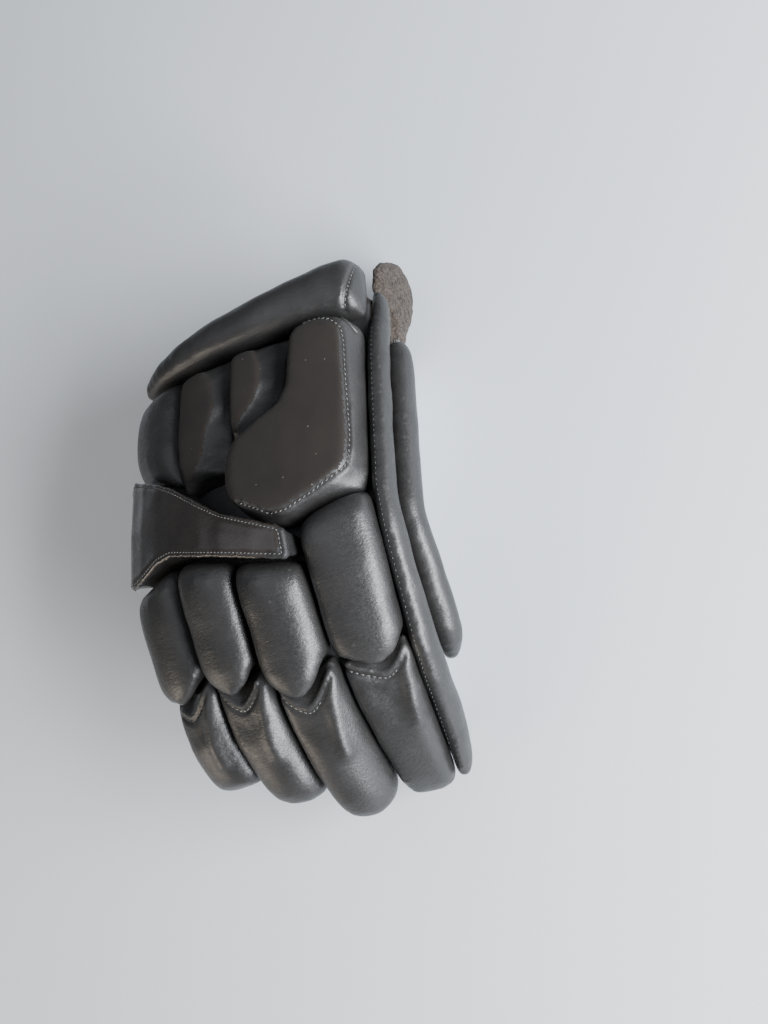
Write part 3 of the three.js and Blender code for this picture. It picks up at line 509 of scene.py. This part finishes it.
def coordinates(piece):
    """A copy of the piece's points, as rows."""
    values = np.empty(len(piece.data.vertices) * 3)
    piece.data.vertices.foreach_get("co", values)
    return values.reshape(-1, 3)


def set_coordinates(piece, rows):
    """Moves the piece's points."""
    piece.data.vertices.foreach_set("co", rows.ravel())
    piece.data.update()


def outward(piece):
    """The directions of the piece's points, as rows."""
    values = np.empty(len(piece.data.vertices) * 3)
    piece.data.vertex_normals.foreach_get("vector", values)
    return values.reshape(-1, 3)


def cad_copy(name, node, finishes):
    """A new piece from a node's mesh, its loose triangles joined up."""
    bm = bmesh.new()
    bm.from_mesh(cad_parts[node].data)
    bmesh.ops.remove_doubles(bm, verts=bm.verts, dist=1e-6)
    mesh = bpy.data.meshes.new(name)
    bm.to_mesh(mesh)
    bm.free()
    return new_piece(name, mesh, finishes)


def placed(piece, node):
    """Attaches a finished piece to the glove's root and hides the node it stands for, with nothing of it under
    the floor.
    """
    rows = coordinates(piece)
    rows[:, 2] = np.maximum(rows[:, 2], FLOOR_GAP * MM)
    set_coordinates(piece, rows)
    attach(piece, "root")
    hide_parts(node)
    return piece


def blown(piece, cap):
    """The piece shrunk a little and blown up as foam fills a sewn cover, no point moving past the cap."""
    start = coordinates(piece)
    shrunk = start - outward(piece) * cap * FOAM_SHRINK * MM
    set_coordinates(piece, shrunk)
    scene = bpy.context.scene
    scene.frame_start = 1
    scene.frame_end = FOAM_STEPS
    cloth = piece.modifiers.new("foam", "CLOTH")
    cloth.settings.quality = 4
    cloth.settings.mass = 0.2
    cloth.settings.use_pressure = True
    cloth.settings.uniform_pressure_force = 4
    cloth.settings.tension_stiffness = 12
    cloth.settings.compression_stiffness = 12
    cloth.settings.bending_stiffness = 0.6
    cloth.settings.effector_weights.gravity = 0
    cloth.collision_settings.use_collision = False
    for step in range(1, FOAM_STEPS + 1):
        scene.frame_set(step)
    applied(piece)
    scene.frame_set(1)
    moved = coordinates(piece) - shrunk
    length = np.linalg.norm(moved, axis=1, keepdims=True)
    moved *= np.minimum(1, cap * MM / np.maximum(length, 1e-9))
    set_coordinates(piece, shrunk + moved)
    return piece


def plumped(piece, node):
    """The piece swollen until it has its solid's volume again, which smoothing had taken from it."""
    def size_of(mesh):
        bm = bmesh.new()
        bm.from_mesh(mesh)
        volume, area = bm.calc_volume(), sum(face.calc_area() for face in bm.faces)
        bm.free()
        return volume, area

    goal = size_of(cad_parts[node].data)[0]
    for _ in range(3):
        volume, area = size_of(piece.data)
        set_coordinates(piece, coordinates(piece) + outward(piece) * (goal - volume) / area)
    return piece


def wavered(piece, size, depth, stretch=(1, 1, 1)):
    """The piece's surface moved in and out by smooth noise, of a size and depth in millimetres."""
    points = coordinates(piece)
    normals = outward(piece)
    for row, (point, normal) in enumerate(zip(points, normals)):
        seat = Vector([point[k] / (size * MM * stretch[k]) for k in range(3)])
        points[row] += normal * noise.noise(seat) * depth * MM
    set_coordinates(piece, points)
    return piece


def pressed(piece, path, width, depth):
    """The piece's surface drawn in along a path, as thread draws a seam in. A negative depth raises it."""
    tree = KDTree(len(path))
    for row, point in enumerate(path):
        tree.insert(point, row)
    tree.balance()
    points = coordinates(piece)
    normals = outward(piece)
    for row, (point, normal) in enumerate(zip(points, normals)):
        distance = tree.find(Vector(point))[2] / (width * MM)
        if distance < 2.5:
            points[row] -= normal * math.exp(-distance * distance) * depth * MM
    set_coordinates(piece, points)
    return piece


def line_of(points, step):
    """The corners of a path as points one step apart, in the same units."""
    corners = [np.array(point, float) for point in points]
    lengths = [0.0]
    for first, second in zip(corners, corners[1:]):
        lengths.append(lengths[-1] + float(np.linalg.norm(second - first)))
    count = max(2, int(round(lengths[-1] / step)) + 1)
    places = np.linspace(0, lengths[-1], count)
    return [
        [float(np.interp(place, lengths, [corner[k] for corner in corners])) for k in range(len(corners[0]))]
        for place in places
    ]


def traced(piece, places, over, reach=12):
    """Where a path over the hand meets a piece's surface, and the surface's direction there."""
    graph = bpy.context.evaluated_depsgraph_get()
    tree = BVHTree.FromObject(piece, graph)
    found = []
    for across, along in places:
        start, normal = over(across, along, reach)
        hit, facing, _, _ = tree.ray_cast(start, -normal, 3 * reach * MM)
        if hit is not None:
            found.append((hit, facing))
    return found


def touched(piece, points):
    """The places of a piece's surface that are nearest to some points, and the surface's directions there."""
    tree = BVHTree.FromObject(piece, bpy.context.evaluated_depsgraph_get())
    return [tree.find_nearest(point)[:2] for point in points]


def stepped(start, step, count):
    """Points in a straight row, in metres."""
    return [Vector([place + away * j for place, away in zip(start, step)]) for j in range(count)]


def sewn(name, runs, length, thick, tilt=0.0):
    """Rows of stitches in one piece, each a short thread that dips into the surface at both ends."""
    bm = bmesh.new()
    for run in runs:
        for (first, facing), (second, _) in zip(run, run[1:]):
            step = second - first
            if not 0.1 * length * MM < step.length < 3 * length * MM:
                continue
            ahead = step.normalized()
            up = (facing - ahead * facing.dot(ahead)).normalized()
            ahead = Matrix.Rotation(math.radians(tilt), 3, up) @ ahead
            side = up.cross(ahead)
            turn = Matrix((ahead, side, up)).transposed().to_4x4()
            middle = (first + second) / 2 + up * thick * STITCH_LIFT * MM
            place = Matrix.Translation(middle) @ turn @ Matrix.Diagonal(
                (length * 0.5 * MM, thick * 0.5 * MM, thick * 0.5 * MM, 1))
            bmesh.ops.create_icosphere(bm, subdivisions=1, radius=1, matrix=place)
    mesh = bpy.data.meshes.new(name)
    bm.to_mesh(mesh)
    bm.free()
    piece = new_piece(name, mesh, ["nylon_thread"])
    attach(piece, "root")
    return piece


def welt(name, path, radius):
    """A narrow piped edge along a path."""
    curve = bpy.data.curves.new(name, "CURVE")
    curve.dimensions = "3D"
    curve.bevel_depth = radius * MM
    curve.bevel_resolution = 3
    curve.use_fill_caps = True
    spline = curve.splines.new("POLY")
    spline.points.add(len(path) - 1)
    for point, place in zip(spline.points, path):
        point.co = (*place, 1)
    piece = bpy.data.objects.new(name, curve)
    bpy.context.scene.collection.objects.link(piece)
    graph = bpy.context.evaluated_depsgraph_get()
    mesh = bpy.data.meshes.new_from_object(piece.evaluated_get(graph))
    bpy.data.objects.remove(piece)
    bm = bmesh.new()
    bm.from_mesh(mesh)
    bmesh.ops.remove_doubles(bm, verts=bm.verts, dist=1e-6)
    bmesh.ops.recalc_face_normals(bm, faces=bm.faces)
    bm.to_mesh(mesh)
    bm.free()
    piece = new_piece(name, mesh, ["cowhide"])
    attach(piece, "root")
    return piece


def box_mapped(piece):
    """Gives a piece a map in metres, each face flat on the axis that it faces most."""
    mesh = piece.data
    cut = mesh.uv_layers.new(name="cut")
    points = coordinates(piece)
    for face in mesh.polygons:
        facing = [abs(value) for value in face.normal]
        axis = facing.index(max(facing))
        keep = [(1, 2), (0, 2), (0, 1)][axis]
        for loop in face.loop_indices:
            point = points[mesh.loops[loop].vertex_index]
            cut.data[loop].uv = (point[keep[0]], point[keep[1]])
    return piece


def smooth_copy(name, node, finishes, voxel, rounds):
    """A new piece from a node's solid with its facets smoothed away and its volume kept."""
    piece = cad_copy(name, node, finishes)
    remeshed(piece, voxel)
    relaxed(piece, rounds)
    return plumped(piece, node)


def two_finishes(piece, second):
    """Gives a piece's faces its second finish where a test of their place and direction holds."""
    for face in piece.data.polygons:
        face.material_index = 1 if second(face, *on_back(face.center)) else 0


def pad(node, voxel=2.0, cap=1.0, rounds=4):
    """A foam-filled leather pad where a node's solid is."""
    piece = cad_copy(f"{node}_pad", node, ["cowhide"])
    remeshed(piece, voxel)
    relaxed(piece, rounds)
    blown(piece, cap)
    subdivided(piece)
    wavered(piece, 16, 0.45, (1.6, 0.8, 0.8))
    return plumped(piece, node)


# Pieces


class GLOVE_OT_finger_rolls(bpy.types.Operator):
    """The two padded rolls over each finger, the outer one with a collar that the inner one's end sits in"""

    bl_idname = "glove.finger_rolls"
    bl_label = "Finger Rolls"

    # Places on an outer roll: shares of its half width across, and millimetres beyond its collar
    dip_line = ((-0.3, 8.5), (0.0, 10), (0.25, 9))
    crease_line = ((0.8, -5), (0.68, 3), (0.58, 12), (0.53, 22))
    # How far the collar's rim and its row of stitches lie in from the edge, and where across the row ends
    rim_inset = 1.6
    row_inset = 3.8
    row_end = 0.45

    def execute(self, context):
        sizes = context.scene.glove_sizes
        runs = []
        for place, finger in enumerate(FINGERS):
            left, right = SEAMS[place], SEAMS[place + 1]
            middle, half = (left + right) / 2, (right - left) / 2
            inner = pad(f"{finger['name']}_roll_proximal")
            placed(subdivided(inner, live=True), f"{finger['name']}_roll_proximal")
            outer = pad(f"{finger['name']}_roll_distal")
            collar = finger["proximal"] * ROLL_END + NEST_GAP

            def notch(inset):
                rows = []
                for share in np.linspace(-0.93 if place else -0.5, 0.8, 40):
                    bow = 0.43 * ROLL_PITCH * abs(share) ** 1.7 * (1 + 0.18 * share)
                    rows.append((middle + half * share, collar - bow + inset))
                return rows

            # A dip under the stitched edge, and a crease that runs down from the corner beside it
            dip, crease = (
                [(middle + half * share, collar + along) for share, along in line]
                for line in (self.dip_line, self.crease_line)
            )
            presses = (
                (line_of(dip, 1.5), 5.0, 0.8),
                (line_of(crease, 1.5), 2.6, -1.1),
                (notch(self.rim_inset), 1.1, -0.8),
                (line_of(notch(self.row_inset), 1.0), 0.9, 0.8),
            )
            for path, width, depth in presses:
                pressed(outer, [hit for hit, _ in traced(outer, path, over_hand)], width, depth)
            subdivided(outer, live=True)
            row = line_of(notch(self.row_inset), sizes.stitch_length + 0.5)
            row = [spot for spot in row if spot[0] < middle + half * self.row_end]
            runs.append(traced(outer, row, over_hand))
            placed(outer, f"{finger['name']}_roll_distal")
        sewn("collar_stitches", runs, sizes.stitch_length, sizes.thread)
        return {"FINISHED"}


class GLOVE_OT_back_panels(bpy.types.Operator):
    """The panels over the back of the hand, with flat matte faces and slanted walls"""

    bl_idname = "glove.back_panels"
    bl_label = "Back Panels"

    # The sewn edge of the outer panel's face: across the hand and towards the wrist, in millimetres
    face_edge = [
        (36.5, 83.5), (42, 84.5), (48, 82), (52, 78), (52.8, 72), (53, 60), (53.8, 34),
        (53, 23.5), (50.5, 20.5), (40, 14.8), (28, 9.8), (22, 10.2), (9, 17.5),
    ]
    # The outer part of that edge: distances towards the wrist, and how far across it lies there
    face_limit = ([10, 14.8, 20.5, 23.5, 34, 60, 78, 82, 84.5], [27, 40, 50.5, 53, 53.8, 53, 52, 48, 42])
    # Where the other two panels' matte faces start across the hand, and their far edges by the distance
    # towards the wrist, in millimetres
    faces = {
        "back_panel_middle": (-28.4, [
            (40, -19), (45, -13), (55, -10.5), (63, -6.5), (76, -8.8), (81, -12.5), (83, -18),
        ]),
        "back_panel_ring": (1.2, [
            (51, 3.5), (55, 8), (60, 14), (66, 16.6), (75, 16), (81, 13.5), (82.5, 10),
        ]),
    }
    # The piped fold across the outer panel's corner beside the cuff's end
    fold_line = [(48.5, 86), (51, 84), (54, 81), (57, 77.5)]
    # The faces reach this far down from the crown, and the outer one leans no more than this
    faces_down_to = -7
    outer_down_to = -4
    outer_level = 0.8

    def execute(self, context):
        sizes = context.scene.glove_sizes
        placed(subdivided(pad("back_roll_index"), live=True), "back_roll_index")
        for node in ("back_panel_middle", "back_panel_ring"):
            panel = smooth_copy(f"{node}_pad", node, ["wall_cowhide", "nubuck"], 0.9, 5)
            wavered(panel, 14, 0.3)
            left, edge = self.faces[node]
            far, limits = zip(*edge)

            def on_face(face, across, to_wrist, height):
                return left < across < np.interp(to_wrist, far, limits) and height > self.faces_down_to

            two_finishes(panel, on_face)
            placed(subdivided(panel, live=True), node)
        panel = smooth_copy("back_panel_outer_pad", "back_panel_outer", ["wall_cowhide", "nubuck"], 1.1, 5)
        edge = traced(panel, line_of(self.face_edge, 1.0), over_back)
        pressed(panel, [hit for hit, _ in edge], 1.0, 0.7)
        wavered(panel, 18, 0.35)

        def on_face(face, across, to_wrist, height):
            level = face.normal.dot(over_back(across, to_wrist)[1]) > self.outer_level
            inside = across < np.interp(to_wrist, *self.face_limit)
            return level and inside and height > self.outer_down_to

        two_finishes(panel, on_face)
        subdivided(panel, live=True)
        stitches = traced(panel, line_of(self.face_edge, sizes.stitch_length + 0.35), over_back)
        placed(panel, "back_panel_outer")
        sewn("panel_stitches", [stitches], sizes.stitch_length, sizes.thread, tilt=18)
        fold = traced(panel, line_of(self.fold_line, 1.0), over_back)
        welt("panel_fold", [hit for hit, _ in fold], 0.7)
        return {"FINISHED"}


class GLOVE_OT_knuckle_cover(bpy.types.Operator):
    """The glossy cover over the knuckles, with a raised and stitched rim"""

    bl_idname = "glove.knuckle_cover"
    bl_label = "Knuckle Cover"

    # Where the stitched rim ends across the hand, and how far it lies in from the edge, in millimetres
    rim_ends = (-59, 25)
    rim_inset = 2.4
    # Painted shade: the half-bright hide goes on the cover beyond the rim's end and under it, but not at its
    # end over the thumb, in metres
    painted_shade_from = 25.8
    painted_shade_below = -3
    thumb_end = -0.044

    def execute(self, context):
        sizes = context.scene.glove_sizes
        cover = smooth_copy("knuckle_cover_pad", "knuckle_cover", ["plated_cowhide", "painted_shade_hide"], 1.0, 4)

        def rim(inset):
            start, end = self.rim_ends
            upper = [(x, cover_edge(x, 1) - inset) for x in np.linspace(start, end, 60)]
            lower = [(x, cover_edge(x, 2) + inset) for x in np.linspace(end, start, 60)]
            return upper + lower

        seam = traced(cover, line_of(rim(self.rim_inset), 1.0), over_back)
        pressed(cover, [hit for hit, _ in seam], 0.9, 0.7)
        wavered(cover, 12, 0.3)

        # Faces that get the half-bright hide as painted shade: the cover's end wall and its underside
        def in_painted_shade(face, across, to_wrist, height):
            below = height < self.painted_shade_below and face.center.x > self.thumb_end
            return across > self.painted_shade_from or below

        two_finishes(cover, in_painted_shade)
        subdivided(cover, live=True)
        stitches = traced(cover, line_of(rim(self.rim_inset), sizes.stitch_length), over_back)
        placed(cover, "knuckle_cover")
        sewn("cover_stitches", [stitches], sizes.stitch_length * 0.8, sizes.thread * 0.85, tilt=12)
        return {"FINISHED"}


class GLOVE_OT_cuff(bpy.types.Operator):
    """The roll across the wrist end of the back, sewn off at a slant at its outer end"""

    bl_idname = "glove.cuff"
    bl_label = "Cuff Roll"

    # The slanted seam: across the hand, and towards the wrist from the roll's near edge, in millimetres
    seam_line = ((52.4, -1), (53.8, 3), (55.6, 9), (57.2, 16), (58, 22))

    def execute(self, context):
        sizes = context.scene.glove_sizes
        cuff = pad("cuff_roll")
        near = BACK_LENGTH * 1.02 + 0.1 * CUFF_WIDTH
        seam_line = [(across, near + along) for across, along in self.seam_line]
        seam = traced(cuff, line_of(seam_line, 1.0), over_back)
        pressed(cuff, [hit for hit, _ in seam], 0.9, 0.9)
        subdivided(cuff, live=True)
        stitches = traced(cuff, line_of(seam_line, sizes.stitch_length), over_back)
        placed(cuff, "cuff_roll")
        sewn("cuff_stitches", [stitches], sizes.stitch_length * 0.85, sizes.thread, tilt=15)
        return {"FINISHED"}


class GLOVE_OT_outer_side(bpy.types.Operator):
    """The padded strip and the bar down the little finger's side, and the seam between strip and rolls"""

    bl_idname = "glove.outer_side"
    bl_label = "Outer Side"

    # How far outside the rolls' edge the seam runs, and where it starts and ends along the hand
    seam_inset = 2.2
    seam_ends = (-80, 112)

    def execute(self, context):
        sizes = context.scene.glove_sizes
        strip = pad("side_strip", voxel=1.6, cap=0.6, rounds=5)
        subdivided(strip, live=True)
        line = [(OUTER_EDGE + self.seam_inset, along) for along in np.linspace(*self.seam_ends, 90)]
        stitches = traced(strip, line_of(line, sizes.stitch_length * 1.25), over_hand, reach=14)
        placed(strip, "side_strip")
        bar = pad("side_bar", voxel=1.8, cap=0.8)
        placed(subdivided(bar, live=True), "side_bar")
        sewn("side_stitches", [stitches], sizes.stitch_length * 0.5, sizes.thread * 0.5)
        return {"FINISHED"}


class GLOVE_OT_backing(bpy.types.Operator):
    """The leather that the rolls and panels are sewn to, which closes the valleys between them"""

    bl_idname = "glove.backing"
    bl_label = "Backing"

    # Where it starts across, its width, its reach to the wrist, its depth under the pads and its thickness, in
    # millimetres, and the share of each finger that it covers
    start_across = -61.5
    width = 122
    to_wrist = 96
    lower = 0.15
    thickness = 0.4
    finger_share = 0.84

    def execute(self, context):
        bm = bmesh.new()
        bmesh.ops.create_grid(bm, x_segments=60, y_segments=110, size=0.5)
        for vert in bm.verts:
            across = self.start_across + (vert.co.x + 0.5) * self.width
            finger = finger_at(across)
            start = finger["knuckle"] - self.to_wrist
            end = (finger["proximal"] + finger["distal"]) * self.finger_share
            along = start + (vert.co.y + 0.5) * (end - start)
            vert.co = over_hand(across, along, -PAD_HEIGHT - self.lower)[0]
        bmesh.ops.recalc_face_normals(bm, faces=bm.faces)
        bmesh.ops.solidify(bm, geom=bm.faces[:], thickness=self.thickness * MM)
        mesh = bpy.data.meshes.new("backing")
        bm.to_mesh(mesh)
        bm.free()
        # Its hide is the half-bright one: painted shade in the valleys between the pads
        backing = new_piece("backing", mesh, ["painted_shade_hide"])
        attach(backing, "root")
        return {"FINISHED"}


class GLOVE_OT_hand_shell(bpy.types.Operator):
    """The hollow hand under the pads: back leather, mesh side gusset and white palm leather"""

    bl_idname = "glove.hand_shell"
    bl_label = "Hand Shell"

    # The piping on the gusset: its heights from the crown, its place across, its ends and its radius
    piping_heights = (("gusset_piping_upper", -22.7), ("gusset_piping_lower", -32.0))
    piping_across = 60
    piping_ends = (-78, 108)
    piping_radius = 0.8

    def execute(self, context):
        # The back leather shells take the half-bright hide: painted shade under the pads
        leather = ("painted_shade_hide", "base_leather")
        knit = ("spacer_knit", "spacer_mesh")
        white = ("sheepskin", "white_leather")
        shells = (
            ("back_leather", *leather), ("side_gusset", *knit), ("palm_leather", *white),
            ("thumb_back_leather", *leather), ("thumb_gusset", *knit), ("thumb_palm_leather", *white),
        )
        for node, finish, slot in shells:
            shell = smooth_copy(f"{node}_skin", node, [finish], 0.9, 6)
            box_mapped(shell)
            placed(shell, node)
            if node == "side_gusset":
                gusset = shell
        for name, height in self.piping_heights:
            spots = np.linspace(*self.piping_ends, 150)
            line = [over_hand(self.piping_across, along, height)[0] for along in spots]
            welt(name, [place for place, _ in touched(gusset, line)], self.piping_radius)
        return {"FINISHED"}


class GLOVE_OT_thumb_rolls(bpy.types.Operator):
    """The two padded rolls over the back of the thumb"""

    bl_idname = "glove.thumb_rolls"
    bl_label = "Thumb Rolls"

    def execute(self, context):
        for node in ("thumb_roll_base", "thumb_roll_tip"):
            placed(subdivided(pad(node), live=True), node)
        return {"FINISHED"}


class GLOVE_OT_wristband(bpy.types.Operator):
    """The towelling round the wrist, and the tab of it that shows at the outer side"""

    bl_idname = "glove.wristband"
    bl_label = "Wristband"

    # The tab's fold, and the bar of thread that holds it shut at its lower end: start, step and count
    fold_row = ((0.0635, 0.062, 0.0285), (0, 0.0012, -0.0002), 16)
    bar_row = ((0.0635, 0.0675, 0.0245), (0, 0, 0.0007), 8)

    def execute(self, context):
        band = smooth_copy("wristband_towelling", "wristband", ["terry"], 0.9, 4)
        wavered(band, 2.4, 0.5)
        placed(band, "wristband")
        tab = smooth_copy("wrist_tab_towelling", "wrist_tab", ["terry"], 0.7, 10)
        fold = touched(tab, stepped(*self.fold_row))
        pressed(tab, [place for place, _ in fold], 1.3, 1.6)
        wavered(tab, 9, 0.6)
        wavered(tab, 2.2, 0.35)
        placed(tab, "wrist_tab")
        bar = touched(tab, stepped(*self.bar_row))
        sewn("tab_bar_tack", [bar], 2.4, 0.6, tilt=90)
        return {"FINISHED"}


class GLOVE_OT_stage(bpy.types.Operator):
    """A plain pale floor, soft light with its key low on the little finger's side, and the camera"""

    bl_idname = "glove.stage"
    bl_label = "Stage"

    # What the lamps point at, and how strong the light from all round is
    aim = (0, 0, 0.04)
    room_light = 0.22
    # Where the photo was taken from, and the directions of the camera's right, top and back
    camera_place = (0.30378, -0.11086, 0.43964)
    camera_axes = (
        (0.78658, -0.17037, -0.59352),
        (0.29103, 0.95002, 0.11299),
        (0.5446, -0.26161, 0.79685),
    )

    def execute(self, context):
        scene = context.scene
        bm = bmesh.new()
        bmesh.ops.create_grid(bm, x_segments=1, y_segments=1, size=3)
        mesh = bpy.data.meshes.new("floor")
        bm.to_mesh(mesh)
        bm.free()
        floor = bpy.data.objects.new("floor", mesh)
        scene.collection.objects.link(floor)
        material, tree, output = blank_material("floor_paint")
        mesh.materials.append(surfaced(material, tree, output, {
            "Base Color": (*linear("d9dde0"), 1), "Roughness": 0.85,
        }))

        world = bpy.data.worlds.new("studio")
        scene.world = world
        world.use_nodes = True
        air = world.node_tree.nodes["Background"]
        air.inputs["Color"].default_value = (*linear("dfe5ec"), 1)
        air.inputs["Strength"].default_value = self.room_light
        light = scene.glove_light
        lamps = (
            ("key", light.key, 0.5, 0.35, (0.84, -0.22, 0.36), "f4f8ff"),
            ("top", light.top, 0.9, 0.9, (-0.2, 0.3, 1.0), "eef3ff"),
            ("front", light.front, 0.3, 0.25, (0.66, -0.58, 0.3), "f4f8ff"),
            ("rim", light.rim, 0.5, 0.3, (-0.7, -0.45, 0.35), "fff0dd"),
        )
        for name, power, width, height, place, colour in lamps:
            lamp = bpy.data.lights.new(name, "AREA")
            lamp.shape = "RECTANGLE"
            lamp.size = width
            lamp.size_y = height
            lamp.energy = power
            lamp.color = linear(colour)
            holder = bpy.data.objects.new(name, lamp)
            holder.location = place
            ray = Vector(self.aim) - Vector(place)
            holder.rotation_euler = ray.to_track_quat("-Z", "Y").to_euler()
            scene.collection.objects.link(holder)

        view = bpy.data.cameras.new("camera")
        view.sensor_width = 36
        view.lens = 46.835
        view.shift_x = 0.05052
        view.shift_y = -0.03344
        view.clip_start = 0.01
        camera = bpy.data.objects.new("camera", view)
        turn = Matrix(self.camera_axes).transposed().to_4x4()
        camera.matrix_world = Matrix.Translation(self.camera_place) @ turn
        scene.collection.objects.link(camera)
        scene.camera = camera
        return {"FINISHED"}


# Settings


class GloveSizes(bpy.types.PropertyGroup):
    stitch_length: FloatProperty(
        name="Stitch", description="Length of one stitch, in millimetres", default=1.7, min=1.0, max=4.0)
    thread: FloatProperty(
        name="Thread", description="Thickness of the thread, in millimetres", default=0.56, min=0.3, max=1.5)


class GloveColours(bpy.types.PropertyGroup):
    leather: FloatVectorProperty(
        name="Leather", description="Black leather of the rolls", subtype="COLOR", default=linear("21201f"))
    nubuck: FloatVectorProperty(
        name="Nubuck", description="Matte faces of the panels", subtype="COLOR", default=linear("1e1915"))
    cover: FloatVectorProperty(
        name="Cover", description="Glossy knuckle leather", subtype="COLOR", default=linear("211c18"))
    palm: FloatVectorProperty(
        name="Palm", description="White palm leather", subtype="COLOR", default=linear("dcdee4"))
    mesh: FloatVectorProperty(
        name="Mesh", description="Spacer mesh of the gussets", subtype="COLOR", default=linear("34322f"))
    towelling: FloatVectorProperty(
        name="Towelling", description="Wristband towelling", subtype="COLOR", default=linear("38312b"))
    thread: FloatVectorProperty(
        name="Thread", description="Sewing thread", subtype="COLOR", default=linear("585754"))


class GloveLight(bpy.types.PropertyGroup):
    key: FloatProperty(
        name="Key", description="Light from the little finger's side", default=28, min=0, unit="POWER")
    top: FloatProperty(name="Top", description="Soft light from above", default=2.6, min=0, unit="POWER")
    front: FloatProperty(
        name="Front", description="Light from the fingertips", default=13, min=0, unit="POWER")
    rim: FloatProperty(
        name="Rim", description="Light from the thumb's side", default=3, min=0, unit="POWER")


class GLOVE_PT_panel(bpy.types.Panel):
    """The glove's steps and settings"""

    bl_label = "Batting Glove"
    bl_idname = "GLOVE_PT_panel"
    bl_space_type = "VIEW_3D"
    bl_region_type = "UI"
    bl_category = "Glove"

    def draw(self, context):
        for settings in (context.scene.glove_sizes, context.scene.glove_colours, context.scene.glove_light):
            for key in settings.__annotations__:
                self.layout.prop(settings, key)
        for step in STEPS:
            self.layout.operator(step.bl_idname)


STEPS = (
    GLOVE_OT_finger_rolls,
    GLOVE_OT_back_panels,
    GLOVE_OT_knuckle_cover,
    GLOVE_OT_cuff,
    GLOVE_OT_outer_side,
    GLOVE_OT_backing,
    GLOVE_OT_hand_shell,
    GLOVE_OT_thumb_rolls,
    GLOVE_OT_wristband,
    GLOVE_OT_stage,
)
SETTINGS = {"glove_sizes": GloveSizes, "glove_colours": GloveColours, "glove_light": GloveLight}


def register():
    for kind in (*SETTINGS.values(), *STEPS, GLOVE_PT_panel):
        bpy.utils.register_class(kind)
    for key, kind in SETTINGS.items():
        setattr(bpy.types.Scene, key, PointerProperty(type=kind))


def unregister():
    for key in SETTINGS:
        delattr(bpy.types.Scene, key)
    for kind in (GLOVE_PT_panel, *reversed(STEPS), *SETTINGS.values()):
        bpy.utils.unregister_class(kind)


def main():
    register()
    for step in STEPS:
        group, action = step.bl_idname.split(".")
        getattr(getattr(bpy.ops, group), action)()


if __name__ == "__main__":
    main()
